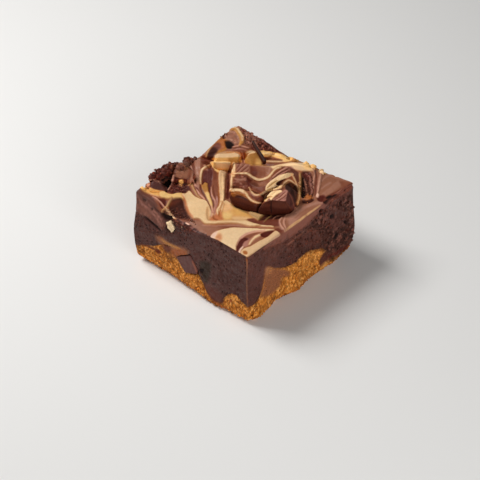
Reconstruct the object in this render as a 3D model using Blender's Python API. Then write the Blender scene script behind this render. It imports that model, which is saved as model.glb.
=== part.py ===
"""Brookie: a square traybake slice with a cookie base, a brownie middle and a marbled chocolate topping.

The slice stands on the floor with its origin under its middle and +Z up. The -Y and +X sides are knife
cuts that meet at the near corner. Lengths below are millimetres; MM turns them into Blender's metres.
"""

import math

import bmesh
import bpy
from mathutils import Vector, noise
from mathutils.geometry import delaunay_2d_cdt

MM = 0.001

# Driving dimensions of the slice
LENGTH_X = 60.4
LENGTH_Y = 64.0
SLAB_HEIGHT = 35.0
GAP = 0.3
HALF_X = LENGTH_X / 2
HALF_Y = LENGTH_Y / 2
# Puts the middle of the finished slice's box on the origin
CENTRING = (-0.6, 0.0)

# How finely the sides and the top are divided
STEPS_X = 36
STEPS_Y = 38
COOKIE_ROWS = 5
BROWNIE_ROWS = 9
TOPPING_ROWS = 2
INNER_STEP = 8.0

# Seeds of the relief, one for each layer
COOKIE_SEED = 3.0
BROWNIE_SEED = 17.0
TOPPING_SEED = 41.0

# Heights of each layer's top along the four sides, as (position along the side, height).
# "front" is the -Y side and "right" the +X side, both cut; "back" is +Y and "left" is -X.
COOKIE_EDGES = {
    "front": [(-30.2, 7.4), (-24.1, 10.7), (-20.6, 12.2), (-15.4, 15.8), (-10.0, 17.4), (-7.4, 12.6),
              (-4.2, 8.2), (-0.3, 8.6), (3.1, 10.9), (5.3, 9.3), (7.5, 5.2), (10.7, 2.8), (14.1, 2.1),
              (16.3, 4.0), (18.5, 8.0), (20.7, 10.4), (22.9, 12.2), (25.0, 11.3), (27.2, 9.4),
              (30.2, 9.1)],
    "right": [(-32.0, 9.1), (-27.6, 7.2), (-25.2, 8.9), (-23.4, 13.1), (-22.9, 18.0), (-21.2, 21.6),
              (-18.8, 21.9), (-15.7, 19.2), (-9.6, 15.8), (-5.2, 14.7), (-0.3, 15.3), (3.4, 16.2),
              (7.9, 14.5), (13.0, 11.6), (16.2, 8.6), (19.4, 3.0), (23.0, 1.6), (32.0, 1.6)],
    "back": [(-30.2, 9.5), (-22.0, 13.0), (-14.0, 9.0), (-6.0, 11.5), (3.0, 7.0), (12.0, 12.5),
             (20.0, 6.0), (30.2, 1.6)],
    "left": [(-32.0, 7.4), (-24.0, 9.0), (-14.0, 13.5), (-5.0, 8.5), (6.0, 10.5), (16.0, 14.0),
             (24.0, 10.5), (32.0, 9.5)],
}
BROWNIE_EDGES = {
    "front": [(-30.2, 25.2), (-24.0, 23.4), (-18.0, 22.2), (-15.8, 24.6), (-13.6, 30.6), (-9.0, 30.9),
              (2.0, 30.6), (9.0, 32.2), (15.0, 33.3), (30.2, 33.6)],
    "right": [(-32.0, 33.6), (-22.0, 32.8), (-16.0, 30.8), (-10.0, 28.6), (-4.0, 28.8), (2.0, 29.4),
              (8.0, 30.8), (14.0, 32.0), (20.0, 33.2), (32.0, 33.8)],
    "back": [(-30.2, 30.0), (-20.0, 28.6), (-8.0, 27.8), (4.0, 29.4), (16.0, 31.0), (30.2, 33.8)],
    "left": [(-32.0, 25.2), (-27.0, 30.5), (-16.0, 33.0), (-4.0, 30.6), (8.0, 28.4), (20.0, 30.8),
             (32.0, 30.0)],
}
TOPPING_EDGES = {
    "front": [(-30.2, 36.4), (-24.0, 35.4), (-18.0, 33.8), (-15.0, 32.4), (2.0, 32.3), (9.0, 34.0),
              (14.0, 34.9), (30.2, 35.0)],
    "right": [(-32.0, 35.0), (32.0, 35.2)],
    "back": [(-30.2, 32.4), (-23.0, 31.4), (-10.0, 30.2), (-3.0, 31.0), (2.5, 32.2), (9.0, 33.6),
             (14.5, 33.2), (24.0, 34.3), (30.2, 35.2)],
    "left": [(-32.0, 36.6), (-30.0, 38.2), (-27.0, 39.0), (-10.0, 37.6), (-5.0, 36.2), (0.0, 34.8),
             (5.0, 32.8), (8.5, 31.2), (12.0, 32.4), (20.0, 34.6), (27.0, 35.0), (32.0, 32.4)],
}
# How far in from a side its heights hold, the distance that stands for no distance at all, and the least
# thickness of the topping
EDGE_REACH = 4.5
NEAREST_SIDE = 0.02
LEAST_TOPPING = 1.1
TOPPING_RIPPLE = 0.25
TOPPING_RIPPLE_SIZE = 4.0

# How far the bottom edge stands out from the line between the bottom corners, and the inset of each corner
BOTTOM_BULGE = {
    "front": [(-30.2, 0.0), (-21.5, 0.1), (-13.0, 0.5), (-6.0, 0.7), (3.0, 1.2), (10.0, 1.6), (16.5, 1.2),
              (22.5, 0.9), (26.5, 0.3), (30.2, 0.0)],
    "right": [(-32.0, 0.0), (-30.0, 0.9), (-28.0, 2.4), (-18.5, 2.4), (-14.5, 0.6), (-9.7, 1.7),
              (-5.6, 2.8), (-2.8, 3.4), (1.7, 2.6), (7.0, 2.0), (18.4, 1.8), (24.0, 1.3), (32.0, 0.0)],
    "back": [(-30.2, 0.0), (-12.0, 1.2), (4.0, 0.4), (18.0, 1.6), (30.2, 0.0)],
    "left": [(-32.0, 0.0), (-18.0, 1.4), (-2.0, 0.3), (16.0, 1.8), (32.0, 0.0)],
}
CORNER_INSET = {(-1, -1): 2.0, (1, -1): 2.3, (1, 1): 1.0, (-1, 1): 1.8}
CORNER_BELLY = {(-1, -1): 1.2, (1, -1): 0.0, (1, 1): 0.8, (-1, 1): 0.6}
EDGE_ROUND = 3.6
BULGE_HEIGHT = 7.0
BELLY_MIDDLE = 16.0
BELLY_SPREAD = 9.0
# Relief of the sides: the plan size and height of its coarse and fine lumps, the share of the fine ones,
# and the part of a side, at each end, where it fades so that the corners stay sharp
COARSE_LUMP = (4.2, 3.4)
FINE_LUMP = (2.0, 1.8)
FINE_SHARE = 0.6
CORNER_FADE = 1 / 12
COOKIE_ROUGH = 0.45
BROWNIE_ROUGH = 0.22
CRUMB_ROUGH = 0.5
CRUMB_STRETCH = (8.0, 14.0)
TORN_ROUGH = 0.25
TOPPING_ROUGH = 0.15

# The topping's form, as rounded rises and pits: (x, y, rise, radius along, radius across, turn in degrees)
TOPPING_MOUNDS = [
    (-20.0, 0.0, 4.0, 7.0, 6.0, 0.0),
    (-9.0, 12.0, 2.0, 7.0, 7.0, 0.0),
    (-27.0, -26.0, 1.6, 4.0, 4.0, 0.0),
    (8.0, 26.0, 1.4, 11.0, 3.6, -8.0),
    (18.0, 22.5, 1.8, 2.2, 7.0, 38.0),
    (26.0, 24.0, 0.6, 7.0, 2.2, 60.0),
    (24.0, -26.0, 0.5, 6.0, 2.4, 40.0),
    (-12.0, -26.5, -2.4, 5.0, 3.6, 0.0),
    (-15.5, -31.0, -2.0, 1.8, 1.8, 0.0),
    (-24.6, -20.0, -4.4, 2.0, 2.0, 0.0),
    (15.5, 19.0, -4.0, 1.8, 5.0, 40.0),
    (0.0, -20.0, -1.1, 15.0, 7.0, 12.0),
]
# Folds that stand up from the topping: (points of the ridge line, rise, half width)
TOPPING_FOLDS = [
    ([(-29.0, -31.0), (-23.0, -27.0), (-17.0, -23.5), (-13.0, -21.0)], 1.4, 1.3),
    ([(-22.0, -5.0), (-17.0, -9.5), (-12.0, -14.0)], 0.8, 1.1),
    ([(-17.0, -1.5), (-12.0, -7.0), (-6.0, -14.5)], 0.9, 1.2),
    ([(-13.0, 0.5), (-8.0, -5.0), (-2.5, -12.0)], 0.8, 1.0),
    ([(-5.0, 21.0), (3.0, 24.5), (13.0, 27.5)], 1.3, 1.3),
    ([(0.0, 18.0), (6.0, 20.5), (12.0, 23.0)], 0.9, 1.0),
    ([(5.0, -22.0), (16.0, -18.0), (27.0, -12.5)], 0.5, 1.2),
    ([(13.0, -30.0), (19.0, -24.5), (26.0, -18.0)], 0.5, 1.1),
]

# Chocolate and brownie pieces on top. Each has a flat seat in the topping, then the outline of its straight
# lower part as (x, y, height), then the corner of its top above each of those points.
SEAT_MARGIN = 2.0
CHUNK_BEVEL = 0.5
CHUNKS = {
    "scooped_chunk": (34.0,
                      [(-8.8, 2.0, 38.4), (-3.2, -5.6, 38.2), (1.8, -4.0, 38.2), (6.2, -2.2, 38.6),
                       (10.8, -1.8, 38.8), (12.8, 2.0, 39.4), (14.4, 8.8, 38.2), (13.2, 15.8, 37.6),
                       (7.2, 14.2, 38.0), (-3.0, 8.6, 38.0)],
                      [(-7.3, 1.6, 43.0), (-2.9, -2.9, 43.0), (1.0, 0.3, 43.0), (4.2, 1.0, 41.8),
                       (8.2, 2.2, 41.8), (10.6, 4.6, 42.6), (12.8, 9.3, 43.0), (12.0, 14.1, 43.2),
                       (8.0, 12.4, 43.0), (-2.4, 5.6, 42.9)]),
    "ledge_chunk": (34.0,
                    [(-1.6, -8.0, 37.4), (2.8, -11.4, 36.4), (8.4, -10.6, 36.0), (13.0, -8.2, 36.0),
                     (13.6, -3.4, 38.2), (10.6, -3.2, 38.2), (6.0, -3.6, 38.2), (2.4, -5.4, 38.0)],
                    [(-0.8, -7.9, 39.0), (3.2, -10.8, 39.0), (8.0, -9.2, 39.1), (12.2, -7.6, 39.4),
                     (12.8, -4.0, 40.0), (10.5, -3.9, 39.8), (6.2, -4.4, 39.5), (2.8, -6.1, 39.4)]),
    "corner_chunk": (34.0,
                     [(14.2, -8.4, 36.4), (18.8, -6.0, 36.4), (23.6, 0.2, 36.4), (23.4, 5.2, 36.8),
                      (20.8, 9.6, 37.4), (15.8, 8.6, 38.4), (14.0, 1.8, 38.6)],
                     [(15.4, -5.6, 40.2), (19.2, -4.1, 41.5), (21.8, -0.8, 41.4), (20.2, 4.2, 41.3),
                      (18.8, 6.6, 40.8), (16.6, 6.8, 41.6), (15.2, 1.6, 41.0)]),
    "rear_chunk": (33.2,
                   [(-28.4, 4.6, 34.6), (-22.6, 6.8, 35.2), (-19.8, 12.6, 36.4), (-12.6, 17.0, 37.0),
                    (-8.2, 21.6, 35.4), (-7.4, 28.4, 34.0), (-18.0, 29.8, 34.4), (-28.4, 29.0, 36.4),
                    (-29.0, 16.6, 36.6)],
                   [(-26.8, 5.8, 35.6), (-23.6, 9.8, 37.0), (-21.2, 14.2, 38.2), (-15.6, 18.0, 38.6),
                    (-11.2, 21.4, 36.8), (-9.6, 26.4, 34.8), (-17.6, 27.4, 36.4), (-27.0, 26.0, 39.0),
                    (-27.9, 17.4, 38.2)]),
    "rear_block": (33.2,
                   [(-20.8, 4.4, 38.8), (-19.2, 1.4, 37.4), (-10.4, 7.8, 37.6), (-12.6, 11.2, 38.8),
                    (-15.0, 11.0, 38.8)],
                   [(-20.0, 4.3, 40.0), (-18.4, 2.7, 39.6), (-11.2, 8.4, 39.6), (-12.9, 10.4, 40.0),
                    (-14.6, 10.2, 40.0)]),
    "golden_block": (33.2,
                     [(-9.8, 9.4, 37.8), (-5.4, 9.2, 36.8), (-1.2, 12.8, 36.6), (-3.4, 16.0, 37.4),
                      (-8.8, 16.2, 39.4), (-10.4, 13.0, 39.4)],
                     [(-9.2, 10.2, 39.6), (-5.6, 10.0, 38.4), (-2.2, 12.8, 38.2), (-3.8, 15.0, 38.9),
                      (-8.3, 15.2, 41.2), (-9.5, 12.8, 41.0)]),
    "milk_chunk": (35.0,
                   [(-26.4, -15.4, 37.6), (-24.2, -17.8, 36.6), (-18.0, -13.6, 36.6), (-18.4, -9.6, 37.4),
                    (-22.8, -8.6, 38.6), (-26.0, -12.0, 38.8)],
                   [(-25.7, -14.8, 40.0), (-24.2, -15.8, 39.2), (-19.6, -12.6, 38.5),
                    (-19.9, -10.7, 39.2), (-22.8, -9.9, 40.3), (-25.1, -12.6, 40.5)]),
    "facet_chunk": (35.0,
                    [(-28.8, -26.4, 36.8), (-26.4, -28.2, 36.4), (-21.8, -23.8, 35.9),
                     (-23.6, -22.6, 36.4), (-27.8, -24.6, 37.6)],
                    [(-28.3, -26.1, 38.3), (-26.5, -27.0, 37.6), (-23.0, -23.8, 36.6),
                     (-24.4, -23.3, 38.0), (-27.5, -24.9, 39.1)]),
    "crumb_lump": (35.0,
                   [(-30.2, -25.4, 39.0), (-29.0, -23.8, 38.6), (-26.4, -20.4, 38.2),
                    (-27.2, -15.6, 38.8), (-27.6, -10.0, 37.6), (-30.2, -8.6, 37.0), (-30.4, -17.0, 38.8)],
                   [(-29.8, -24.4, 40.5), (-28.8, -22.8, 40.4), (-27.2, -19.8, 40.4),
                    (-27.9, -15.4, 41.0), (-28.4, -11.0, 39.2), (-29.6, -10.2, 38.6),
                    (-29.8, -17.0, 41.2)]),
}
SCOOP_RADIUS = 5.7
SCOOP_MIDDLE = (5.8, 1.2, 44.9)
SHARD_FOOT = (-0.9, 12.9, 40.2)
SHARD_TIP = (-11.6, 17.2, 43.0)
SHARD_SIZE = (1.1, 2.2)
SHARD_TIP_SIZE = 0.7

# Drizzle laid over the chocolate pieces: which piece, (x, y, height) points of the line, and its half width
DRIZZLES = [
    ("scooped_chunk", [(-3.2, -2.6, 42.8), (-0.8, -0.6, 43.0), (1.4, 1.4, 41.6), (3.6, 2.4, 40.1),
                       (6.2, 4.2, 39.9), (8.2, 7.4, 41.2), (8.2, 11.4, 43.0)], 0.6),
    ("ledge_chunk", [(-0.2, -8.0, 39.0), (3.4, -9.6, 39.1), (6.4, -8.2, 39.1), (10.4, -7.2, 39.2)], 0.7),
    ("corner_chunk", [(15.6, -3.8, 40.7), (15.4, 0.8, 41.0), (16.4, 4.6, 41.2), (18.6, 5.8, 41.0),
                      (20.3, 4.2, 41.2)],
     0.95),
    ("rear_chunk", [(-26.6, 22.4, 38.8), (-24.4, 24.4, 38.2), (-21.0, 22.8, 38.0), (-20.2, 19.8, 38.3)],
     0.9),
]
DRIZZLE_END = 0.45
DRIZZLE_FLAT = 0.8
DRIZZLE_SIDES = 6
DRIZZLE_CUTS = 3

# Pieces set in the front side and cut through by it: (x, z) corners of the cut face, depth, and how much
# smaller the far end is
SET_IN_PIECES = {
    "side_chunk": ([(-8.8, 13.4), (-0.6, 18.6), (3.0, 13.4), (2.6, 10.9), (-3.6, 8.1), (-6.7, 11.9)],
                   9.0, 0.4),
    "pale_chip": ([(-14.0, 28.4), (-11.6, 30.4), (-10.6, 29.4), (-9.4, 27.4), (-11.4, 24.8),
                   (-13.2, 26.2)], 3.0, 0.5),
}
SET_IN_PROUD = 0.2
POCKET_GAP = 0.4
POCKET_OVERHANG = 4.0


def between(points, at):
    """Straight-line reading of (position, value) points."""
    if at <= points[0][0]:
        return points[0][1]
    for (low, first), (high, second) in zip(points, points[1:]):
        if at <= high:
            return first + (second - first) * (at - low) / (high - low)
    return points[-1][1]


def smooth(share):
    """An eased step from 0 to 1."""
    share = min(1.0, max(0.0, share))
    return share * share * (3 - 2 * share)


def layer_blend(edges, x, y):
    """The heights along the four sides blended by nearness, and the sum of the weights that did it."""
    sides = (
        (y + HALF_Y, between(edges["front"], x)),
        (HALF_X - x, between(edges["right"], y)),
        (HALF_Y - y, between(edges["back"], x)),
        (x + HALF_X, between(edges["left"], y)),
    )
    weights = [1 / (max(distance, 0.0) + NEAREST_SIDE) ** 2 for distance, _ in sides]
    total = sum(weights)
    return total, sum(weight * height for weight, (_, height) in zip(weights, sides)) / total


def layer_height(edges, x, y):
    """A layer's top at a plan point."""
    return layer_blend(edges, x, y)[1]


def distance_to_line(x, y, line):
    """Plan distance from a point to a line of points."""
    nearest = math.inf
    for (ax, ay), (bx, by) in zip(line, line[1:]):
        dx, dy = bx - ax, by - ay
        share = min(1.0, max(0.0, ((x - ax) * dx + (y - ay) * dy) / (dx * dx + dy * dy)))
        nearest = min(nearest, math.hypot(x - ax - share * dx, y - ay - share * dy))
    return nearest


def inside_outline(x, y, outline):
    """Whether a plan point lies inside a closed outline."""
    inside = False
    for (ax, ay), (bx, by) in zip(outline, outline[1:] + outline[:1]):
        if (ay > y) != (by > y) and x < ax + (y - ay) * (bx - ax) / (by - ay):
            inside = not inside
    return inside


def seat_for(x, y):
    """The seat height by a piece, and how strongly it holds: 1 under the piece, 0 away from it."""
    nearest, level = math.inf, SLAB_HEIGHT
    for seat, outline, _ in CHUNKS.values():
        flat = [(px, py) for px, py, _ in outline]
        away = 0.0 if inside_outline(x, y, flat) else distance_to_line(x, y, flat + flat[:1])
        if away < nearest:
            nearest, level = away, seat
    return level, 1 - smooth((nearest - SEAT_MARGIN) / SEAT_MARGIN)


def topping_height(x, y):
    """The topping's upper surface: mounds, pits and folds, flat under the pieces that stand on it."""
    height = SLAB_HEIGHT
    for mx, my, rise, along, across, turn in TOPPING_MOUNDS:
        angle = math.radians(turn)
        u = ((x - mx) * math.cos(angle) + (y - my) * math.sin(angle)) / along
        v = ((y - my) * math.cos(angle) - (x - mx) * math.sin(angle)) / across
        height += rise * math.exp(-(u * u + v * v))
    for line, rise, half_width in TOPPING_FOLDS:
        height += rise * math.exp(-((distance_to_line(x, y, line) / half_width) ** 2))
    ripple = Vector((x / TOPPING_RIPPLE_SIZE, y / TOPPING_RIPPLE_SIZE, TOPPING_SEED))
    height += TOPPING_RIPPLE * noise.noise(ripple)
    edge_weight, edge_height = layer_blend(TOPPING_EDGES, x, y)
    inner_weight = 1 / EDGE_REACH ** 2
    height = (edge_weight * edge_height + inner_weight * height) / (edge_weight + inner_weight)
    seat, share = seat_for(x, y)
    height = height * (1 - share) + seat * share
    return max(height, layer_height(BROWNIE_EDGES, x, y) + LEAST_TOPPING)


def outline_point(side, share, z, seed, roughness):
    """A point of the slice's outline at height z: side 0 to 3 from the front, share 0 to 1 along it."""
    signs = [(-1, -1), (1, -1), (1, 1), (-1, 1)]
    start, end = signs[side], signs[(side + 1) % 4]
    rounding = 1 - math.sqrt(max(0.0, 1 - (1 - min(1.0, z / EDGE_ROUND)) ** 2))
    belly = math.exp(-(((z - BELLY_MIDDLE) / BELLY_SPREAD) ** 2))

    def corner(sign):
        out = CORNER_BELLY[sign] * belly - CORNER_INSET[sign] * rounding
        return Vector((sign[0] * (HALF_X + out), sign[1] * (HALF_Y + out), 0))

    point = corner(start).lerp(corner(end), share)
    normal = Vector(((0, -1), (1, 0), (0, 1), (-1, 0))[side]).to_3d()
    name = ("front", "right", "back", "left")[side]
    place = (point.x if side % 2 == 0 else point.y)
    bulge = between(BOTTOM_BULGE[name], place) * (1 - smooth(z / BULGE_HEIGHT))
    keep_corner = smooth(min(share, 1 - share) / CORNER_FADE)
    rough = 0.0
    for (plan, tall), part in ((COARSE_LUMP, 1.0), (FINE_LUMP, FINE_SHARE)):
        rough += part * noise.noise(Vector((point.x / plan, point.y / plan, z / tall + seed)))
    point += normal * (bulge + roughness(name, place) * rough * keep_corner)
    point.z = z
    return point


def cookie_roughness(side, place):
    return COOKIE_ROUGH


def brownie_roughness(side, place):
    """The far end of the right side is open crumb; elsewhere the knife has smoothed the fudge."""
    start, length = CRUMB_STRETCH
    crumb = smooth((place - start) / length) if side == "right" else 0.0
    return BROWNIE_ROUGH + CRUMB_ROUGH * crumb + (TORN_ROUGH if side in ("back", "left") else 0.0)


def topping_roughness(side, place):
    return TOPPING_ROUGH


COOKIE_RELIEF = (COOKIE_SEED, cookie_roughness)
BROWNIE_RELIEF = (BROWNIE_SEED, brownie_roughness)
TOPPING_RELIEF = (TOPPING_SEED, topping_roughness)


def rim_places():
    """(side, share along it, grid column, grid row) of each point round the slice, from the front left."""
    places = [(0, i / STEPS_X, i, 0) for i in range(STEPS_X)]
    places += [(1, j / STEPS_Y, STEPS_X, j) for j in range(STEPS_Y)]
    places += [(2, i / STEPS_X, STEPS_X - i, STEPS_Y) for i in range(STEPS_X)]
    places += [(3, j / STEPS_Y, 0, STEPS_Y - j) for j in range(STEPS_Y)]
    return places


def nominal(column, row):
    """Plan position of a point of the top grid."""
    return LENGTH_X * column / STEPS_X - HALF_X, LENGTH_Y * row / STEPS_Y - HALF_Y


def cap(mesh, rim, height_at, up):
    """Closes a ring of vertices with a sheet at height_at, fine at the ring and coarse within."""
    flat = [vert.co.to_2d() / MM for vert in rim]
    inner = []
    for i in range(1, int(LENGTH_X / INNER_STEP)):
        for j in range(1, int(LENGTH_Y / INNER_STEP)):
            inner.append(Vector((i * INNER_STEP - HALF_X, j * INNER_STEP - HALF_Y)))
    ring = [(point.x, point.y) for point in flat]
    edges = [(k, (k + 1) % len(flat)) for k in range(len(flat))]
    points, _, faces, origin, _, _ = delaunay_2d_cdt(flat + inner, edges, [], 0, 0, True)
    verts = []
    for point, sources in zip(points, origin):
        source = sources[0]
        if source < len(rim):
            verts.append(rim[source])
        else:
            verts.append(mesh.verts.new(Vector((point.x, point.y, height_at(point.x, point.y))) * MM))
    for face in faces:
        middle = sum((points[i] for i in face), Vector((0, 0))) / len(face)
        if not inside_outline(middle.x, middle.y, ring):
            continue
        corners = [verts[i] for i in face]
        turned = (corners[1].co - corners[0].co).cross(corners[2].co - corners[0].co).z > 0
        mesh.faces.new(corners if turned == up else corners[::-1])


def walls(mesh, rings):
    """Quads between rings of vertices, lowest ring first, split the same way all round."""
    for low, high in zip(rings, rings[1:]):
        for k in range(len(low)):
            after = (k + 1) % len(low)
            mesh.faces.new((low[k], low[after], high[after]))
            mesh.faces.new((low[k], high[after], high[k]))


def layer_rings(mesh, bottom, top, rows, relief, relief_below, gap):
    """Rings of vertices up the side of a layer.

    The lowest ring has the plan of the ring that the layer below ends with, so that their meeting faces
    have the same triangles and keep the gap all over.
    """
    rings = [[] for _ in range(rows + 1)]
    for side, share, column, row in rim_places():
        x, y = nominal(column, row)
        low, high = bottom(x, y), top(x, y)
        start = outline_point(side, share, low, *relief_below)
        start.z += gap
        rings[0].append(mesh.verts.new(start * MM))
        for level in range(1, rows + 1):
            z = low + gap + (high - low - gap) * level / rows
            rings[level].append(mesh.verts.new(outline_point(side, share, z, *relief) * MM))
    return rings


def material(name, colour, roughness):
    made = bpy.data.materials.new(name)
    made.use_nodes = True
    shader = made.node_tree.nodes["Principled BSDF"]
    shader.inputs["Base Color"].default_value = (*colour, 1)
    shader.inputs["Roughness"].default_value = roughness
    shader.inputs["Metallic"].default_value = 0
    made.diffuse_color = (*colour, 1)
    return made


def finish_object(name, mesh, look):
    bmesh.ops.recalc_face_normals(mesh, faces=mesh.faces)
    data = bpy.data.meshes.new(name)
    mesh.to_mesh(data)
    mesh.free()
    made = bpy.data.objects.new(name, data)
    bpy.context.scene.collection.objects.link(made)
    data.materials.append(look)
    return made


def cookie_top(x, y):
    return layer_height(COOKIE_EDGES, x, y)


def brownie_top(x, y):
    return layer_height(BROWNIE_EDGES, x, y)


def cookie_base(look):
    """The cookie layer: a flat foot with a rounded, crumbled edge, and a top that rises and falls."""
    mesh = bmesh.new()
    rings = layer_rings(mesh, lambda x, y: 0.0, cookie_top, COOKIE_ROWS, COOKIE_RELIEF, COOKIE_RELIEF, 0.0)
    walls(mesh, rings)
    cap(mesh, rings[0], lambda x, y: 0.0, up=False)
    cap(mesh, rings[-1], cookie_top, up=True)
    return finish_object("cookie_base", mesh, look)


def brownie_layer(look):
    """The brownie layer, filling every dip of the cookie below it."""
    mesh = bmesh.new()
    rings = layer_rings(mesh, cookie_top, brownie_top, BROWNIE_ROWS, BROWNIE_RELIEF, COOKIE_RELIEF, GAP)
    walls(mesh, rings)
    cap(mesh, rings[0], lambda x, y: cookie_top(x, y) + GAP, up=False)
    cap(mesh, rings[-1], brownie_top, up=True)
    return finish_object("brownie_layer", mesh, look)


def chocolate_topping(look):
    """The set chocolate on top: the brownie's shape below; poured, folded and pitted above."""
    mesh = bmesh.new()
    rings = layer_rings(mesh, brownie_top, topping_height, TOPPING_ROWS, TOPPING_RELIEF, BROWNIE_RELIEF,
                        GAP)
    walls(mesh, rings)
    cap(mesh, rings[0], lambda x, y: brownie_top(x, y) + GAP, up=False)
    grid = {(column, row): vert for (_, _, column, row), vert in zip(rim_places(), rings[-1])}
    for column in range(1, STEPS_X):
        for row in range(1, STEPS_Y):
            x, y = nominal(column, row)
            grid[column, row] = mesh.verts.new(Vector((x, y, topping_height(x, y))) * MM)
    for column in range(STEPS_X):
        for row in range(STEPS_Y):
            a, b = grid[column, row], grid[column + 1, row]
            c, d = grid[column + 1, row + 1], grid[column, row + 1]
            mesh.faces.new((a, b, c))
            mesh.faces.new((a, c, d))
    return finish_object("chocolate_topping", mesh, look)


def middle_of(outline):
    return (sum(x for x, _ in outline) / len(outline), sum(y for _, y in outline) / len(outline))


def piece_on_top(name, look):
    """A broken piece on top: flat foot, straight lower sides, drawn-in upper sides and worn edges."""
    seat, lower, upper = CHUNKS[name]
    mesh = bmesh.new()
    foot = [Vector((x, y, seat + GAP)) for x, y, _ in lower]
    rings = [[mesh.verts.new(Vector(point) * MM) for point in ring] for ring in (foot, lower, upper)]
    mesh.faces.new(rings[0][::-1])
    mesh.faces.new(rings[2])
    for low, high in zip(rings, rings[1:]):
        for k in range(len(low)):
            after = (k + 1) % len(low)
            mesh.faces.new((low[k], low[after], high[after], high[k]))
    bmesh.ops.triangulate(mesh, faces=[face for face in mesh.faces if len(face.verts) > 4])
    made = finish_object(name, mesh, look)
    bevel = made.modifiers.new("worn edges", "BEVEL")
    bevel.width = CHUNK_BEVEL * MM
    bevel.segments = 1
    bevel.limit_method = "ANGLE"
    bevel.angle_limit = math.radians(25)
    return made


def spline_points(points, cuts):
    """Catmull-Rom points along a line of points."""
    ends = [points[0] * 2 - points[1]] + points + [points[-1] * 2 - points[-2]]
    made = []
    for a, b, c, d in zip(ends, ends[1:], ends[2:], ends[3:]):
        for step in range(cuts):
            t = step / cuts
            made.append(0.5 * (2 * b + (c - a) * t + (2 * a - 5 * b + 4 * c - d) * t * t
                               + (3 * b - a - 3 * c + d) * t ** 3))
    return made + [points[-1]]


def drizzle_strand(line, half_width):
    """A strand of chocolate half sunk in the top of a piece, thinner at both ends."""
    route = spline_points([Vector(point) for point in line], DRIZZLE_CUTS)
    mesh = bmesh.new()
    rings = []
    for k, point in enumerate(route):
        ahead = route[min(k + 1, len(route) - 1)] - route[max(k - 1, 0)]
        side = ahead.cross(Vector((0, 0, 1))).normalized()
        share = k / (len(route) - 1)
        width = half_width * (DRIZZLE_END + (1 - DRIZZLE_END) * math.sin(math.pi * share))
        ring = []
        for n in range(DRIZZLE_SIDES):
            angle = 2 * math.pi * n / DRIZZLE_SIDES
            offset = side * math.cos(angle) + Vector((0, 0, DRIZZLE_FLAT)) * math.sin(angle)
            ring.append(mesh.verts.new((point + offset * width) * MM))
        rings.append(ring)
    for low, high in zip(rings, rings[1:]):
        for n in range(DRIZZLE_SIDES):
            after = (n + 1) % DRIZZLE_SIDES
            mesh.faces.new((low[n], low[after], high[after], high[n]))
    mesh.faces.new(rings[0][::-1])
    mesh.faces.new(rings[-1])
    return finish_object("strand", mesh, bpy.data.materials["blonde_chocolate"])


def apply_modifiers(made):
    graph = bpy.context.evaluated_depsgraph_get()
    mesh = bpy.data.meshes.new_from_object(made.evaluated_get(graph))
    made.modifiers.clear()
    made.data = mesh


def join_to(made, operation, others):
    """Adds or cuts other objects, applies it and removes them."""
    group = bpy.data.collections.new("helpers")
    for other in others:
        group.objects.link(other)
    modifier = made.modifiers.new(operation.lower(), "BOOLEAN")
    modifier.operation = operation
    modifier.operand_type = "COLLECTION"
    modifier.collection = group
    modifier.solver = "EXACT"
    bpy.context.view_layer.update()
    apply_modifiers(made)
    for other in others:
        bpy.data.objects.remove(other)
    bpy.data.collections.remove(group)


def scoop_cutter():
    """The ball that leaves a curved hollow in the scooped piece."""
    mesh = bmesh.new()
    bmesh.ops.create_uvsphere(mesh, u_segments=20, v_segments=12, radius=SCOOP_RADIUS * MM)
    bmesh.ops.translate(mesh, verts=mesh.verts, vec=Vector(SCOOP_MIDDLE) * MM)
    return finish_object("scoop", mesh, bpy.data.materials["milk_chocolate"])


def dark_shard(look):
    """A thin sliver of dark chocolate that leans on the golden block."""
    foot, tip = Vector(SHARD_FOOT), Vector(SHARD_TIP)
    along = (tip - foot).normalized()
    across = along.cross(Vector((0, 0, 1))).normalized()
    upright = across.cross(along)
    mesh = bmesh.new()
    corners = []
    for end, size in ((foot, 1.0), (tip, SHARD_TIP_SIZE)):
        for a, b in ((-1, -1), (1, -1), (1, 1), (-1, 1)):
            offset = across * a * SHARD_SIZE[0] / 2 + upright * b * SHARD_SIZE[1] / 2
            corners.append(mesh.verts.new((end + offset * size) * MM))
    bmesh.ops.convex_hull(mesh, input=corners)
    return finish_object("dark_shard", mesh, look)


def set_in_piece(name, source, look, clearance, overhang):
    """A piece set in the front side, cut flush by it and tapering inwards.

    With a clearance and an overhang it is the cutter of its own pocket.
    """
    outline, depth_in, taper = SET_IN_PIECES[source]
    cx, cz = middle_of(outline)
    mesh = bmesh.new()
    verts = []
    for depth in (-SET_IN_PROUD - overhang, depth_in):
        size = 1 - taper * (depth + SET_IN_PROUD) / (depth_in + SET_IN_PROUD)
        for x, z in outline:
            wide = Vector((x - cx, z - cz))
            wide = wide * size + wide.normalized() * clearance
            back = clearance if depth > 0 else 0.0
            verts.append(mesh.verts.new(Vector((cx + wide.x, depth + back - HALF_Y, cz + wide.y)) * MM))
    bmesh.ops.convex_hull(mesh, input=verts)
    return finish_object(name, mesh, look)


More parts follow.
